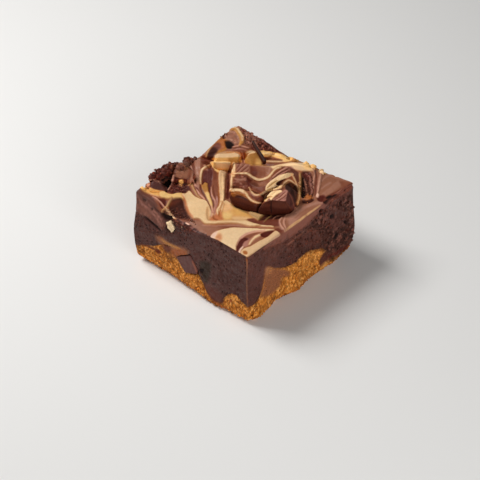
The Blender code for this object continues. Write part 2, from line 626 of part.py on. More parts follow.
def main():
    for old in list(bpy.data.objects):
        bpy.data.objects.remove(old)

    cookie_look = material("baked_cookie", (0.52, 0.27, 0.07), 0.85)
    brownie_look = material("brownie", (0.062, 0.034, 0.030), 0.8)
    milk_look = material("milk_chocolate", (0.20, 0.085, 0.055), 0.45)
    blonde_look = material("blonde_chocolate", (0.74, 0.48, 0.22), 0.45)
    dark_look = material("dark_chocolate", (0.045, 0.018, 0.014), 0.4)
    nut_look = material("nut", (0.68, 0.55, 0.33), 0.6)

    cookie = cookie_base(cookie_look)
    brownie = brownie_layer(brownie_look)
    topping = chocolate_topping(milk_look)

    set_in_piece("side_chunk", "side_chunk", dark_look, 0.0, 0.0)
    set_in_piece("pale_chip", "pale_chip", nut_look, 0.0, 0.0)
    for host, sources in ((cookie, ["side_chunk"]), (brownie, SET_IN_PIECES), (topping, ["pale_chip"])):
        pockets = []
        for source in sources:
            pockets.append(set_in_piece("pocket", source, dark_look, POCKET_GAP, POCKET_OVERHANG))
        join_to(host, "DIFFERENCE", pockets)

    looks = {"rear_block": blonde_look, "golden_block": blonde_look, "crumb_lump": brownie_look}
    for name in CHUNKS:
        made = piece_on_top(name, looks.get(name, milk_look))
        apply_modifiers(made)
        if name == "scooped_chunk":
            join_to(made, "DIFFERENCE", [scoop_cutter()])
        strands = [drizzle_strand(*strand) for piece, *strand in DRIZZLES if piece == name]
        if strands:
            join_to(made, "UNION", strands)
    dark_shard(dark_look)

    for made in bpy.context.scene.objects:
        made.location = (CENTRING[0] * MM, CENTRING[1] * MM, 0)


main()
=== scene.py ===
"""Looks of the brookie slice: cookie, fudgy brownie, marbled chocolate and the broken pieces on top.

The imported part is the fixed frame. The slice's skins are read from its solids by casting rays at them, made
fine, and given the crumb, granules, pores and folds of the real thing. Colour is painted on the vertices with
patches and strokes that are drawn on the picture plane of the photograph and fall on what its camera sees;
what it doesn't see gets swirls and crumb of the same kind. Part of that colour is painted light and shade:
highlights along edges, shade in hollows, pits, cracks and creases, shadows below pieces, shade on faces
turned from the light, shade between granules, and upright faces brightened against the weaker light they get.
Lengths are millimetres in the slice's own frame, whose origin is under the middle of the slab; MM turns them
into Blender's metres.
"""

import logging
import math
from collections.abc import Sequence
from dataclasses import dataclass, field
from enum import Enum
from itertools import product

import bmesh
import bpy
import numpy as np
from mathutils import Euler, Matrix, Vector
from mathutils.bvhtree import BVHTree

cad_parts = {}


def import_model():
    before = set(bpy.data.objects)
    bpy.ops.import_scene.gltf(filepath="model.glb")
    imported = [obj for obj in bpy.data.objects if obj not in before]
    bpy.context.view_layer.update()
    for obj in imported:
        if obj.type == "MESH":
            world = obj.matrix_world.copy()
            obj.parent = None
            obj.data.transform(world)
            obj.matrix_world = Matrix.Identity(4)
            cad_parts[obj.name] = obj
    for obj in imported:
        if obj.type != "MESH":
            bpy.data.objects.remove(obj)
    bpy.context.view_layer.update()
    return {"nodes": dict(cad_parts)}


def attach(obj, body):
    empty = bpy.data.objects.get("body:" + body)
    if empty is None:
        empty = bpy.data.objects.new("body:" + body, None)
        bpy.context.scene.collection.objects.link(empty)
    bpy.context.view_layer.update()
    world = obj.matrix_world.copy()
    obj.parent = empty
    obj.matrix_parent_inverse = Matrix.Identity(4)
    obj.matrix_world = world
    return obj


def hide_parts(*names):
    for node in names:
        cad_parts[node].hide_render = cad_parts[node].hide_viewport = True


LOG = logging.getLogger("brookie")

MM = 0.001
BODY = "root"
# Where the slab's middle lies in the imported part
CENTRING = np.array((-0.6, 0.0, 0.0))
# Half the slab's two sides
HALF_X = 30.2
HALF_Y = 32.0

# Points of a plane, across and down by turns
Points = Sequence[float]
# How far the amber rim of a pale mark reaches, in the photograph's pixels, and how strong it is
RIM_WIDTH = 0.9
RIM_STRENGTH = 0.5
# Upright faces get less light than the top, and their tones are raised by this share
FLANK_LIFT = 0.2


class Slot(Enum):
    """The record's material slots."""

    COOKIE = "baked_cookie"
    BROWNIE = "brownie"
    MILK = "milk_chocolate"
    BLONDE = "blonde_chocolate"
    DARK = "dark_chocolate"
    NUT = "nut"


class Tone(Enum):
    """Colours of the slice, as red, green and blue from 0 to 255."""

    LIT_CREAM = (255, 214, 160)
    LIT_GOLD = (255, 200, 122)
    CREAM = (226, 190, 145)
    BLONDE = (222, 184, 136)
    SHADED_CREAM = (216, 176, 132)
    PINK_CREAM = (226, 186, 162)
    PEACH = (226, 173, 120)
    GOLD = (216, 161, 90)
    LIGHT_GOLD = (221, 178, 112)
    CARAMEL = (188, 130, 62)
    LEAF_GOLD = (170, 115, 55)
    ORANGE = (184, 104, 62)
    ORANGE_BROWN = (165, 94, 44)
    OLIVE = (140, 108, 62)
    TAN = (190, 148, 100)
    PALE_PINK = (202, 146, 122)
    PINK = (170, 114, 98)
    MAUVE = (158, 106, 84)
    MILK = (144, 92, 68)
    LIGHT_MILK = (166, 116, 96)
    BROWN_MILK = (130, 74, 52)
    RED_BROWN = (108, 52, 36)
    DEEP_BROWN = (90, 46, 32)
    DARK_RED = (80, 24, 14)
    MAROON = (80, 42, 36)
    DARK = (58, 20, 8)
    DARK_GREY = (54, 28, 20)
    BLACK = (24, 7, 4)
    SLAB = (98, 60, 50)
    BAND = (113, 67, 54)
    FUDGE = (68, 38, 32)
    RED_FUDGE = (80, 43, 35)
    OLIVE_FUDGE = (50, 36, 28)
    # A smear's colour, also used for the painted highlight line down the front corner edge
    SMEAR_AND_EDGE_HIGHLIGHT = (126, 77, 49)
    COOKIE = (168, 102, 36)
    COOKIE_LIGHT = (200, 140, 72)
    COOKIE_DARK = (122, 66, 20)
    COOKIE_RED = (140, 72, 34)
    NUT = (214, 186, 148)
    GLINT = (236, 186, 160)

    @property
    def rgb(self) -> np.ndarray:
        """Its three numbers."""
        return np.array(self.value, float)

    def fill(self, count: int) -> np.ndarray:
        """Its three numbers for each of so many points."""
        return np.tile(self.rgb, (count, 1))

    def lay(self, tint: np.ndarray, cover: np.ndarray) -> None:
        """Draws colours toward it, each by its own share from 0 to 1."""
        tint += (self.rgb - tint) * cover[:, None]


RIM_TONE = Tone.ORANGE_BROWN


class Grain:
    """Seeded noise for arrays of points."""

    @staticmethod
    def lattice(cells: np.ndarray, seed: int) -> np.ndarray:
        """Random numbers for whole-number cells.

        Args:
            cells: whole numbers, three to a cell.
            seed: which set of numbers.

        Returns:
            Numbers from 0 to 1, one to a cell.
        """
        mixed = cells[..., 0] * 73856093 ^ cells[..., 1] * 19349663 ^ cells[..., 2] * 83492791
        mixed = (mixed ^ (seed * 2654435761)) & 0xFFFFFFFF
        mixed = ((mixed ^ (mixed >> 13)) * 1274126177) & 0xFFFFFFFF
        mixed = ((mixed ^ (mixed >> 15)) * 2246822519) & 0xFFFFFFFF
        return ((mixed ^ (mixed >> 16)) & 0xFFFFF) / 0xFFFFF

    @staticmethod
    def smooth(points: np.ndarray, size: float, seed: int) -> np.ndarray:
        """Soft noise.

        Args:
            points: places, three numbers each.
            size: length of one lump.
            seed: which noise.

        Returns:
            Numbers from -1 to 1.
        """
        scaled = points / size
        base = np.floor(scaled).astype(np.int64)
        part = scaled - base
        part = part * part * (3 - 2 * part)
        total = np.zeros(len(points))
        for corner in product((0, 1), repeat=3):
            share = np.where(np.array(corner) == 1, part, 1 - part).prod(axis=1)
            total += share * Grain.lattice(base + np.array(corner), seed)
        return 2 * total - 1

    @staticmethod
    def layered(points: np.ndarray, size: float, seed: int, layers: int = 3) -> np.ndarray:
        """Soft noise with finer and fainter noise on top.

        Args:
            points: places, three numbers each.
            size: length of the largest lumps.
            seed: which noise.
            layers: how many sizes, each half of the last.

        Returns:
            Numbers from about -1 to 1.
        """
        total = np.zeros(len(points))
        for level in range(layers):
            total += Grain.smooth(points, size / 2**level, seed + level) / 2**level
        return total / (2 - 2 ** (1 - layers))

    @staticmethod
    def cells(points: np.ndarray, size: float, seed: int) -> tuple[np.ndarray, np.ndarray]:
        """Granules: the distance to the nearest of scattered centres.

        Args:
            points: places, three numbers each.
            size: distance between centres.
            seed: which scatter.

        Returns:
            The distance in cells, and a number from 0 to 1 that is the granule's own.
        """
        scaled = points / size
        base = np.floor(scaled).astype(np.int64)
        nearest = np.full(len(points), 9.0)
        own = np.zeros(len(points))
        for offset in product((-1, 0, 1), repeat=3):
            cell = base + np.array(offset)
            centre = cell + np.stack([Grain.lattice(cell, seed + k) for k in range(3)], axis=1)
            away = np.sqrt(((scaled - centre) ** 2).sum(axis=1))
            closer = away < nearest
            nearest[closer] = away[closer]
            own[closer] = Grain.lattice(cell[closer], seed + 7)
        return nearest, own


def ease(share: np.ndarray) -> np.ndarray:
    """An eased step from 0 to 1."""
    share = np.clip(share, 0.0, 1.0)
    return share * share * (3 - 2 * share)


def blur(field_: np.ndarray, spread: float, axis: int, around: bool) -> np.ndarray:
    """Evens out an array along one axis.

    Args:
        field_: the numbers.
        spread: the bell's half width, in steps.
        axis: along which axis.
        around: whether the axis closes on itself.

    Returns:
        The evened numbers.
    """
    reach = max(1, int(3 * spread))
    steps = np.arange(-reach, reach + 1)
    bell = np.exp(-0.5 * (steps / spread) ** 2)
    bell /= bell.sum()
    padding = [(0, 0)] * field_.ndim
    padding[axis] = (reach, reach)
    padded = np.pad(field_, padding, mode="wrap" if around else "edge")
    total = np.zeros_like(field_)
    length = field_.shape[axis]
    for step, weight in zip(range(2 * reach + 1), bell):
        total += weight * np.take(padded, range(step, step + length), axis=axis)
    return total


def spline(points: Points, cuts: int, closed: bool) -> np.ndarray:
    """A smooth line through points.

    Args:
        points: what it goes through.
        cuts: steps between two points.
        closed: whether it returns to its start.

    Returns:
        The line's own points.
    """
    given = np.array(points, float).reshape(-1, 2)
    if closed:
        ends = np.vstack([given[-1:], given, given[:2]])
    else:
        ends = np.vstack([2 * given[:1] - given[1:2], given, 2 * given[-1:] - given[-2:-1]])
    share = (np.arange(cuts) / cuts)[:, None]
    made = []
    for a, b, c, d in zip(ends, ends[1:], ends[2:], ends[3:]):
        made.append(
            0.5 * (2 * b + (c - a) * share + (2 * a - 5 * b + 4 * c - d) * share**2
                   + (3 * b - a - 3 * c + d) * share**3)
        )
    line = np.vstack(made)
    return line if closed else np.vstack([line, given[-1:]])


@dataclass(frozen=True)
class PhotoCamera:
    """The photograph's camera, as it was fitted to the slab's corners."""

    azimuth: float = 42.2358
    elevation: float = 39.7158
    distance: float = 744.6547
    aim_height: float = 17.7
    aim_shift: tuple[float, float] = (-2.1867, -7.9597)
    lens: float = 135.0
    sensor: float = 36.0
    picture: float = 480.0

    def axes(self) -> tuple[np.ndarray, np.ndarray, np.ndarray]:
        """The camera's own directions.

        Returns:
            Its right, up and backward directions in the slice's frame.
        """
        turn, lift = math.radians(self.azimuth), math.radians(self.elevation)
        back = np.array((math.sin(turn) * math.cos(lift), -math.cos(turn) * math.cos(lift), math.sin(lift)))
        right = np.array((math.cos(turn), math.sin(turn), 0.0))
        return right, np.cross(back, right), back

    def place(self) -> np.ndarray:
        """Finds where the camera stands.

        Returns:
            The place in the slice's frame.
        """
        right, up, back = self.axes()
        aim = np.array((0.0, 0.0, self.aim_height)) + right * self.aim_shift[0] + up * self.aim_shift[1]
        return aim + back * self.distance

    def picture_points(self, points: np.ndarray) -> np.ndarray:
        """Where points fall in the photograph, in its pixels.

        Args:
            points: places in the slice's frame.

        Returns:
            Two numbers a point, across and down.
        """
        right, up, back = self.axes()
        offset = points - self.place()
        depth = -(offset @ back)
        scale = self.lens / self.sensor * self.picture / depth
        middle = self.picture / 2
        return np.stack([middle + (offset @ right) * scale, middle - (offset @ up) * scale], axis=1)

    def build(self) -> None:
        """Makes Blender's camera and hands it to the scene."""
        data = bpy.data.cameras.new("photo_camera")
        data.lens = self.lens
        data.sensor_width = self.sensor
        data.clip_start, data.clip_end = 0.01, 10.0
        camera = bpy.data.objects.new("photo_camera", data)
        camera.location = Vector((self.place() + CENTRING) * MM)
        back = Vector(self.axes()[2])
        camera.rotation_mode = "QUATERNION"
        camera.rotation_quaternion = (-back).to_track_quat("-Z", "Y")
        bpy.context.scene.collection.objects.link(camera)
        bpy.context.scene.camera = camera


def line_away(places: np.ndarray, start: np.ndarray, end: np.ndarray) -> tuple[np.ndarray, np.ndarray]:
    """How far places lie from a straight piece of line.

    Args:
        places: where to look.
        start: where the line starts.
        end: where it ends.

    Returns:
        The distances, and how far along the line its nearest point lies, from 0 to 1.
    """
    x, y = places[:, 0], places[:, 1]
    (ax, ay), (dx, dy) = start, end - start
    share = np.clip(((x - ax) * dx + (y - ay) * dy) / max(dx * dx + dy * dy, 1e-9), 0, 1)
    return np.hypot(x - ax - share * dx, y - ay - share * dy), share


def area_depth(outline: Points, places: np.ndarray) -> np.ndarray:
    """How far places lie inside a smooth closed outline.

    Args:
        outline: what the outline goes through.
        places: where to look.

    Returns:
        The distance to the outline, below 0 outside.
    """
    line = spline(outline, 4, closed=True)
    inside = np.zeros(len(places), bool)
    nearest = np.full(len(places), np.inf)
    x, y = places[:, 0], places[:, 1]
    for start, end in zip(line, np.roll(line, -1, axis=0)):
        nearest = np.minimum(nearest, line_away(places, start, end)[0])
        (ax, ay), (dx, dy) = start, end - start
        if dy:
            inside ^= ((ay > y) != (end[1] > y)) & (x < ax + (y - ay) * dx / dy)
    return np.where(inside, nearest, -nearest)


@dataclass(frozen=True)
class Grit:
    """A crumbly area of granules in two tones, with painted shade between them, drawn on the photograph's picture
    plane in its pixels.
    """

    light: Tone
    dark: Tone
    outline: Points
    soft: float = 1.5
    size: float = 0.9
    depth: float = 0.4
    strength: float = 1.0

    def spread(self, points: np.ndarray, places: np.ndarray, tint: np.ndarray) -> tuple[np.ndarray, np.ndarray]:
        """Lays the granules.

        Args:
            points: places on the surface.
            places: the same in the photograph's pixels.
            tint: their colours.

        Returns:
            The new colours and the relief in millimetres.
        """
        cover = ease(0.5 + area_depth(self.outline, places) / (2 * self.soft)) * self.strength
        away, own = Grain.cells(points, self.size, 61)
        fine, fine_own = Grain.cells(points, self.size / 2, 67)
        bright = ease((0.6 * own + 0.4 * fine_own - 0.5) / 0.22)[:, None]
        tone = self.dark.rgb * (1 - bright) + self.light.rgb * bright
        # Painted shade: darker away from each granule's middle, where the relief sinks
        tone = tone * (1 - 0.45 * ease((away - 0.5) / 0.35))[:, None]
        lumps = Grain.layered(points, 2.4 * self.size, 71, 2)
        rise = self.depth * (0.9 * (0.5 - away) + 0.35 * (0.5 - fine) + 0.8 * lumps)
        return tint + (tone - tint) * cover[:, None], rise * cover


@dataclass(frozen=True)
class Patch:
    """An area of one tone, drawn on the photograph's picture plane in its pixels."""

    tone: Tone
    outline: Points
    soft: float = 1.0
    rise: float = 0.0
    strength: float = 1.0

    def weigh(self, places: np.ndarray) -> tuple[np.ndarray, np.ndarray, np.ndarray]:
        """How strongly it covers places, and its relief there.

        Args:
            places: pixels of the photograph.

        Returns:
            The cover from 0 to 1, the wider cover of its rim, and the rise in millimetres.
        """
        depth = area_depth(self.outline, places)
        cover = ease(0.5 + depth / (2 * self.soft))
        rim = ease(0.5 + (depth + RIM_WIDTH) / (2 * self.soft + RIM_WIDTH))
        return cover * self.strength, rim * self.strength, cover * self.rise


@dataclass(frozen=True)
class Stroke:
    """A line of one tone, drawn on the photograph's picture plane in its pixels."""

    tone: Tone
    line: Points
    width: float
    soft: float = 0.7
    rise: float = 0.0
    taper: float = 0.5

    def weigh(self, places: np.ndarray) -> tuple[np.ndarray, np.ndarray, np.ndarray]:
        """How strongly it covers places, and its relief there.

        Args:
            places: pixels of the photograph.

        Returns:
            The cover from 0 to 1, the wider cover of its rim, and the rise in millimetres.
        """
        route = spline(self.line, 5, closed=False)
        nearest = np.full(len(places), np.inf)
        along = np.zeros(len(places))
        for k, (start, end) in enumerate(zip(route, route[1:])):
            away, share = line_away(places, start, end)
            closer = away < nearest
            nearest[closer] = away[closer]
            along[closer] = (k + share[closer]) / (len(route) - 1)
        half = self.width / 2 * (1 - self.taper * np.abs(2 * along - 1) ** 3)
        cover = ease(0.5 + (half - nearest) / (2 * self.soft))
        rim = ease(0.5 + (half + RIM_WIDTH - nearest) / (2 * self.soft + RIM_WIDTH))
        dome = np.sqrt(np.clip(1 - (nearest / (half + self.soft)) ** 2, 0, 1))
        return cover, rim, dome * self.rise


Paint = Sequence[Patch | Stroke | Grit]

# What the photograph shows, larger areas first. All are in its pixels, across and down.
# At the left corner: the hollow, painted dark as shade, the cut slab's face, and the drizzle and glint (a painted
# highlight) on both the top and the side
CORNER_HOLE: Points = (161.3, 213, 164, 210.6, 167.4, 211, 171, 214, 172.2, 219, 166, 220, 162.6, 217.4)
CORNER_SLAB: Points = (136, 194, 150, 203, 164, 221, 163.4, 230, 155, 225.4, 146, 217.4, 136, 211)
CORNER_DRIZZLE: Paint = (
    Stroke(Tone.PALE_PINK, (153, 197, 158, 200, 162, 204, 165, 208, 166, 210), 1.7, rise=0.35),
    Stroke(Tone.TAN, (171.4, 198.6, 168.5, 204, 165.4, 208.4, 162.4, 210), 1.7, rise=0.35),
    Stroke(Tone.SHADED_CREAM, (165.4, 208.6, 169, 212, 172, 216, 175.4, 218.4), 1.9, rise=0.35),
    Patch(Tone.GLINT, (184.6, 221.6, 187, 222.2, 189.8, 224.7, 187.4, 224.6), 0.5, 0.2),
)
# What it shows on the top, from its rear to its left
REAR_PAINT: Paint = (
    Patch(Tone.CARAMEL, (206, 159, 208, 150, 214, 141, 221, 134, 229, 129, 231, 133, 227, 142, 226, 150, 220, 153,
        214, 159), 1.0),
    Patch(Tone.ORANGE_BROWN, (216, 142, 221, 138, 226, 140, 226, 147, 222, 150, 218, 149), 1.2),
    Patch(Tone.RED_BROWN, (214, 144, 219, 142.6, 221, 147, 217, 151, 212, 150), 1.6),
    Patch(Tone.DARK, (206, 159, 208, 151, 213, 147, 217.6, 149, 216, 154, 212, 159), 1.4),
    Stroke(Tone.TAN, (205.6, 158, 208, 150.6, 214, 141.6, 220, 134.6, 227, 129.6), 1.2, soft=0.8),
    # Painted shade: black and dark in two sunk pits
    Patch(Tone.BLACK, (225, 141, 230, 140, 234, 143, 233, 148, 227, 148), 0.9, -0.7),
    Patch(Tone.DARK, (222, 135, 225, 134, 225, 138, 222, 138), 0.7, -0.3),
    Patch(Tone.MAUVE, (225, 133, 230, 131, 238, 133, 241, 140, 240, 145, 234, 143, 230, 140, 225, 139), 1.0),
    Grit(Tone.PALE_PINK, Tone.BROWN_MILK, (226, 134, 237, 134, 239, 144, 231, 141), 1.4, 1.1, 0.15, 0.4),
    Grit(Tone.PINK, Tone.RED_BROWN, (240, 130, 252, 130, 264, 138, 278, 148, 277, 154, 262, 153, 251, 149, 244, 142),
        1.2, 1.2, 0.5),
    Grit(Tone.RED_BROWN, Tone.DARK_RED, (258, 143, 266, 141, 280, 150, 277, 155, 262, 153), 1.6, 1.0, 0.3, 0.8),
    Patch(Tone.LIGHT_MILK, (243, 133, 250, 133, 256, 139, 257, 147, 249, 146, 243, 142), 2.0, 0.0, 0.5),
    Patch(Tone.DARK_RED, (251, 144, 252.6, 146, 256, 152, 253, 151, 251, 147), 0.9, -0.2, 0.8),
    # Painted shade: dark in a small sunk pit
    Patch(Tone.DARK, (258, 144, 261, 143.6, 262, 147, 259, 147), 0.8, -0.3),
    Patch(Tone.BROWN_MILK, (232, 146, 240, 144, 250, 145, 251, 151, 244, 153, 234, 152), 1.0),
    Stroke(Tone.PALE_PINK, (233, 147, 240, 146, 249, 148), 1.2, rise=0.15),
    Stroke(Tone.PINK, (234, 150, 241, 149, 248, 151), 1.1, rise=0.15),
    Stroke(Tone.CARAMEL, (229.6, 129.6, 235, 129.6, 238.8, 133.6, 241.6, 138.4, 241.8, 142, 240, 145.2), 4.2,
        rise=0.7),
    Stroke(Tone.CREAM, (230.5, 128.8, 235.6, 128.8, 239.6, 133, 242.2, 138, 242.4, 141.6), 1.9, soft=1.0, rise=0.2),
    Patch(Tone.BROWN_MILK, (240, 151, 246, 151, 247.5, 158, 247, 165, 241, 164), 0.9),
    Stroke(Tone.PALE_PINK, (242, 152, 243.6, 158, 245, 164), 0.9),
    Patch(Tone.SHADED_CREAM, (216, 154, 226, 151.5, 239, 152.5, 240.5, 157, 228, 158, 215, 158.5), 0.8),
    Patch(Tone.CARAMEL, (213, 158.5, 228, 157.8, 240.5, 157.2, 240.5, 163, 228, 163, 213, 162), 0.7),
    Patch(Tone.LIT_GOLD, (213, 158.6, 224, 158, 228, 158.6, 226, 162, 213, 161.8), 1.6, 0.0, 0.7),
    Patch(Tone.LEAF_GOLD, (246, 153, 253, 151, 259, 155, 263.5, 163, 263, 167.5, 255, 167, 246, 165), 0.8),
    Patch(Tone.GOLD, (256, 159, 260, 158.6, 263.5, 163, 263, 167.5, 256, 166.4), 1.8),
    Patch(Tone.CARAMEL, (246, 157, 250, 160, 252, 166, 246, 165), 1.6),
    # Painted highlight: cream along the golden block's lit top edge
    Patch(Tone.CREAM, (245.6, 152.6, 249, 150.6, 253.6, 150.4, 255.4, 152.6, 250.6, 153.6, 246.6, 155.4), 0.9),
    Patch(Tone.LIT_GOLD, (261, 151, 275, 152.4, 288, 157.2, 284, 160, 274, 157.5, 261, 156), 0.9, 0.3),
    Stroke(Tone.ORANGE_BROWN, (264, 157, 272, 157.2, 280, 159.4), 0.7),
    Stroke(Tone.LIT_CREAM, (262, 152.8, 270, 153.8, 280, 156.4), 1.3),
    Stroke(Tone.RED_BROWN, (262, 158.3, 275, 159, 288, 161.5), 1.4, rise=-0.2),
    Stroke(Tone.SHADED_CREAM, (262, 161, 276, 161.8, 289, 161), 1.5, rise=0.2),
    Stroke(Tone.BROWN_MILK, (262, 164, 276, 163.8, 286, 163), 1.4, rise=-0.1),
    Patch(Tone.LIT_GOLD, (283, 158, 290, 156.5, 292, 161, 284, 162), 0.9, 0.2),
    Patch(Tone.COOKIE_RED, (291.4, 157.5, 295.4, 157, 297.5, 161.5, 292.4, 162), 0.8),
    Patch(Tone.SHADED_CREAM, (262, 166, 270, 166.5, 280, 164.5, 291, 162.8, 300, 163, 306, 163, 313, 165.5,
        317, 169.5, 308, 171.5, 300, 171, 292, 168.6, 282, 169, 270, 169.5), 0.8, 0.3),
    Stroke(Tone.LIT_CREAM, (272, 167.4, 284, 165.6, 296, 164.8, 304, 166.4), 2.0, soft=1.4),
    Patch(Tone.LIT_GOLD, (303, 163.5, 308, 162, 313, 165, 312, 170, 305, 169.5), 1.6, 0.2, 0.6),
    Patch(Tone.ORANGE_BROWN, (312, 165.5, 316, 167, 317, 170, 313, 170), 0.8, 0.0, 0.7),
    Patch(Tone.CREAM, (319, 169, 323, 168.2, 326.5, 172.3, 322, 174, 320.5, 178, 318.5, 174), 0.8, 0.3),
)
STRAND_PAINT: Paint = (
    Patch(Tone.BROWN_MILK, (188, 157, 206, 157, 214, 166, 219, 172, 219.5, 198, 217, 207, 210, 205, 204, 199.6,
        200, 198.6, 194.3, 195.7, 190.7, 191.6, 188.4, 190.7, 186, 193.4, 186.6, 184, 188, 170), 0.8),
    Patch(Tone.RED_BROWN, (201, 159, 213, 160, 213.5, 168, 208, 166, 203, 164), 0.9),
    Patch(Tone.PALE_PINK, (203.6, 165, 205.4, 164.8, 205.6, 166.4, 204, 166.6), 0.5, 0.2),
    Patch(Tone.MAUVE, (194.5, 156, 200.6, 156, 200.7, 165, 200.4, 176, 200, 186, 197.6, 187, 195.4, 180, 194.6, 170),
        0.8, 0.4),
    Stroke(Tone.LIGHT_MILK, (197, 160, 197.4, 170, 198.2, 182), 1.8, soft=1.2),
    Stroke(Tone.RED_BROWN, (192.8, 157, 193.8, 170, 194.8, 182, 197, 190, 202, 197, 206, 201), 2.0, rise=-0.3),
    Stroke(Tone.LIGHT_MILK, (190.8, 166, 192.6, 172, 191.6, 178, 190.4, 183), 1.5, rise=0.3),
    Stroke(Tone.PALE_PINK, (192.6, 179.6, 194.6, 183.8, 196.6, 188), 1.9, rise=0.35),
    Stroke(Tone.DARK_RED, (195.4, 186.8, 197.4, 189.2, 199, 192), 1.0),
    Stroke(Tone.PALE_PINK, (196.6, 189.4, 199.4, 193.6, 203.8, 198.4, 207, 202.6), 1.7, rise=0.25),
    Stroke(Tone.TAN, (188.4, 186, 191, 184, 193.4, 189, 197.6, 195.6, 201, 198.4), 1.3, rise=0.2),
    Patch(Tone.MAROON, (185.6, 187, 188, 185.8, 190.4, 189, 190.4, 191.6, 188.4, 190.4, 186.6, 192.6), 0.7),
    Patch(Tone.LEAF_GOLD, (202, 184.6, 204.3, 182.6, 207.9, 183.2, 208.3, 189.3, 210, 195, 212, 200.7, 212.6, 206,
        211.4, 209, 209.6, 205.8, 206.4, 199.3, 203.6, 193.6, 201.5, 188), 0.5, 0.35),
    Patch(Tone.LIGHT_GOLD, (205, 193, 208.4, 192.6, 210.4, 197, 212.3, 203, 212.4, 208, 211, 208.6, 208.6, 202.6,
        206, 197.4), 1.1),
    Stroke(Tone.DARK_RED, (200, 180, 200.6, 186.6, 202.8, 192, 206, 198, 208.8, 203.4, 210.8, 208, 211.2, 212), 1.2,
        rise=-0.2),
    # Painted shade: the hollow between the strands
    Patch(Tone.DARK_RED, (202, 172, 205, 170, 207.5, 172, 208, 183, 205, 182.4, 202.6, 185, 201.5, 180), 0.6, -0.3),
    Patch(Tone.BROWN_MILK, (208, 170, 213, 168, 217, 171, 218.8, 178, 218.8, 195, 218, 204, 215.4, 209, 213, 202,
        210, 195, 208.8, 188, 208, 180), 0.6, 0.2),
    Patch(Tone.RED_BROWN, (211, 168, 215, 170, 217, 176, 214.6, 181, 211.6, 176), 1.4, 0.0, 0.5),
    Patch(Tone.DARK_RED, (207.6, 170, 210.4, 168, 212.6, 172, 211.8, 182, 210.6, 190, 209.2, 192, 208.2, 184), 0.9,
        -0.1),
    Stroke(Tone.DARK_RED, (208, 172, 208.3, 180, 208.6, 187, 210.4, 195, 212.8, 202, 213.9, 207), 1.0, rise=-0.2),
    Stroke(Tone.PALE_PINK, (211.3, 187.6, 211.5, 193.4, 213, 198, 215.2, 202.2, 215.2, 208, 213.6, 213), 1.3,
        rise=0.25),
    Stroke(Tone.RED_BROWN, (213.6, 186, 214.4, 194, 216.4, 200.4, 216.6, 206, 215.6, 211), 1.0, rise=-0.1),
    Stroke(Tone.ORANGE_BROWN, (214, 169.5, 217.5, 173, 218.9, 180, 218.8, 195, 219.4, 200.7, 218, 206.4, 216.4, 211),
        0.9),
    Stroke(Tone.CREAM, (209.8, 165.6, 204.6, 168, 201.7, 171, 200.7, 176.4, 200.7, 184), 1.9, rise=0.45),
    Patch(Tone.LIT_CREAM, (210.6, 162.4, 220, 161.6, 230, 162, 230, 166, 226.6, 172, 218, 172.4, 213, 167.6), 0.7,
        0.3),
    Patch(Tone.LIT_GOLD, (214, 167.6, 221, 168.4, 228, 168, 227, 172.4, 218, 172.4), 1.4),
    Patch(Tone.LIT_GOLD, (210.6, 162.6, 215, 162.4, 216, 167, 213, 167.4), 1.4),
    Patch(Tone.SHADED_CREAM, (219.2, 172, 226, 172, 225.6, 180, 224.7, 190, 224.2, 198, 223, 204, 220.4, 208,
        219.6, 204, 220.2, 198, 219.2, 188), 0.6, 0.5),
    Stroke(Tone.LIT_CREAM, (222, 174, 222, 184, 222, 194, 221.4, 202), 2.0, soft=1.4),
    Patch(Tone.RED_BROWN, (228.6, 170, 230.5, 165, 231, 175, 231, 190, 230, 197, 227, 199, 225.2, 196, 226.7, 180,
        227.4, 173), 0.7, -0.2),
    Stroke(Tone.PINK, (227.2, 172, 227, 182, 226.2, 192), 1.2, soft=1.0),
    Patch(Tone.DARK_RED, (227.6, 182, 229.8, 182, 229.6, 192, 228, 198, 226.6, 196), 0.8, -0.2),
    Stroke(Tone.PALE_PINK, (230.3, 166, 230, 174, 230.2, 181), 1.0),
    Stroke(Tone.CREAM, (232.6, 164, 232, 172, 232, 178, 231.2, 185, 230.8, 191), 1.5, rise=0.3),
)
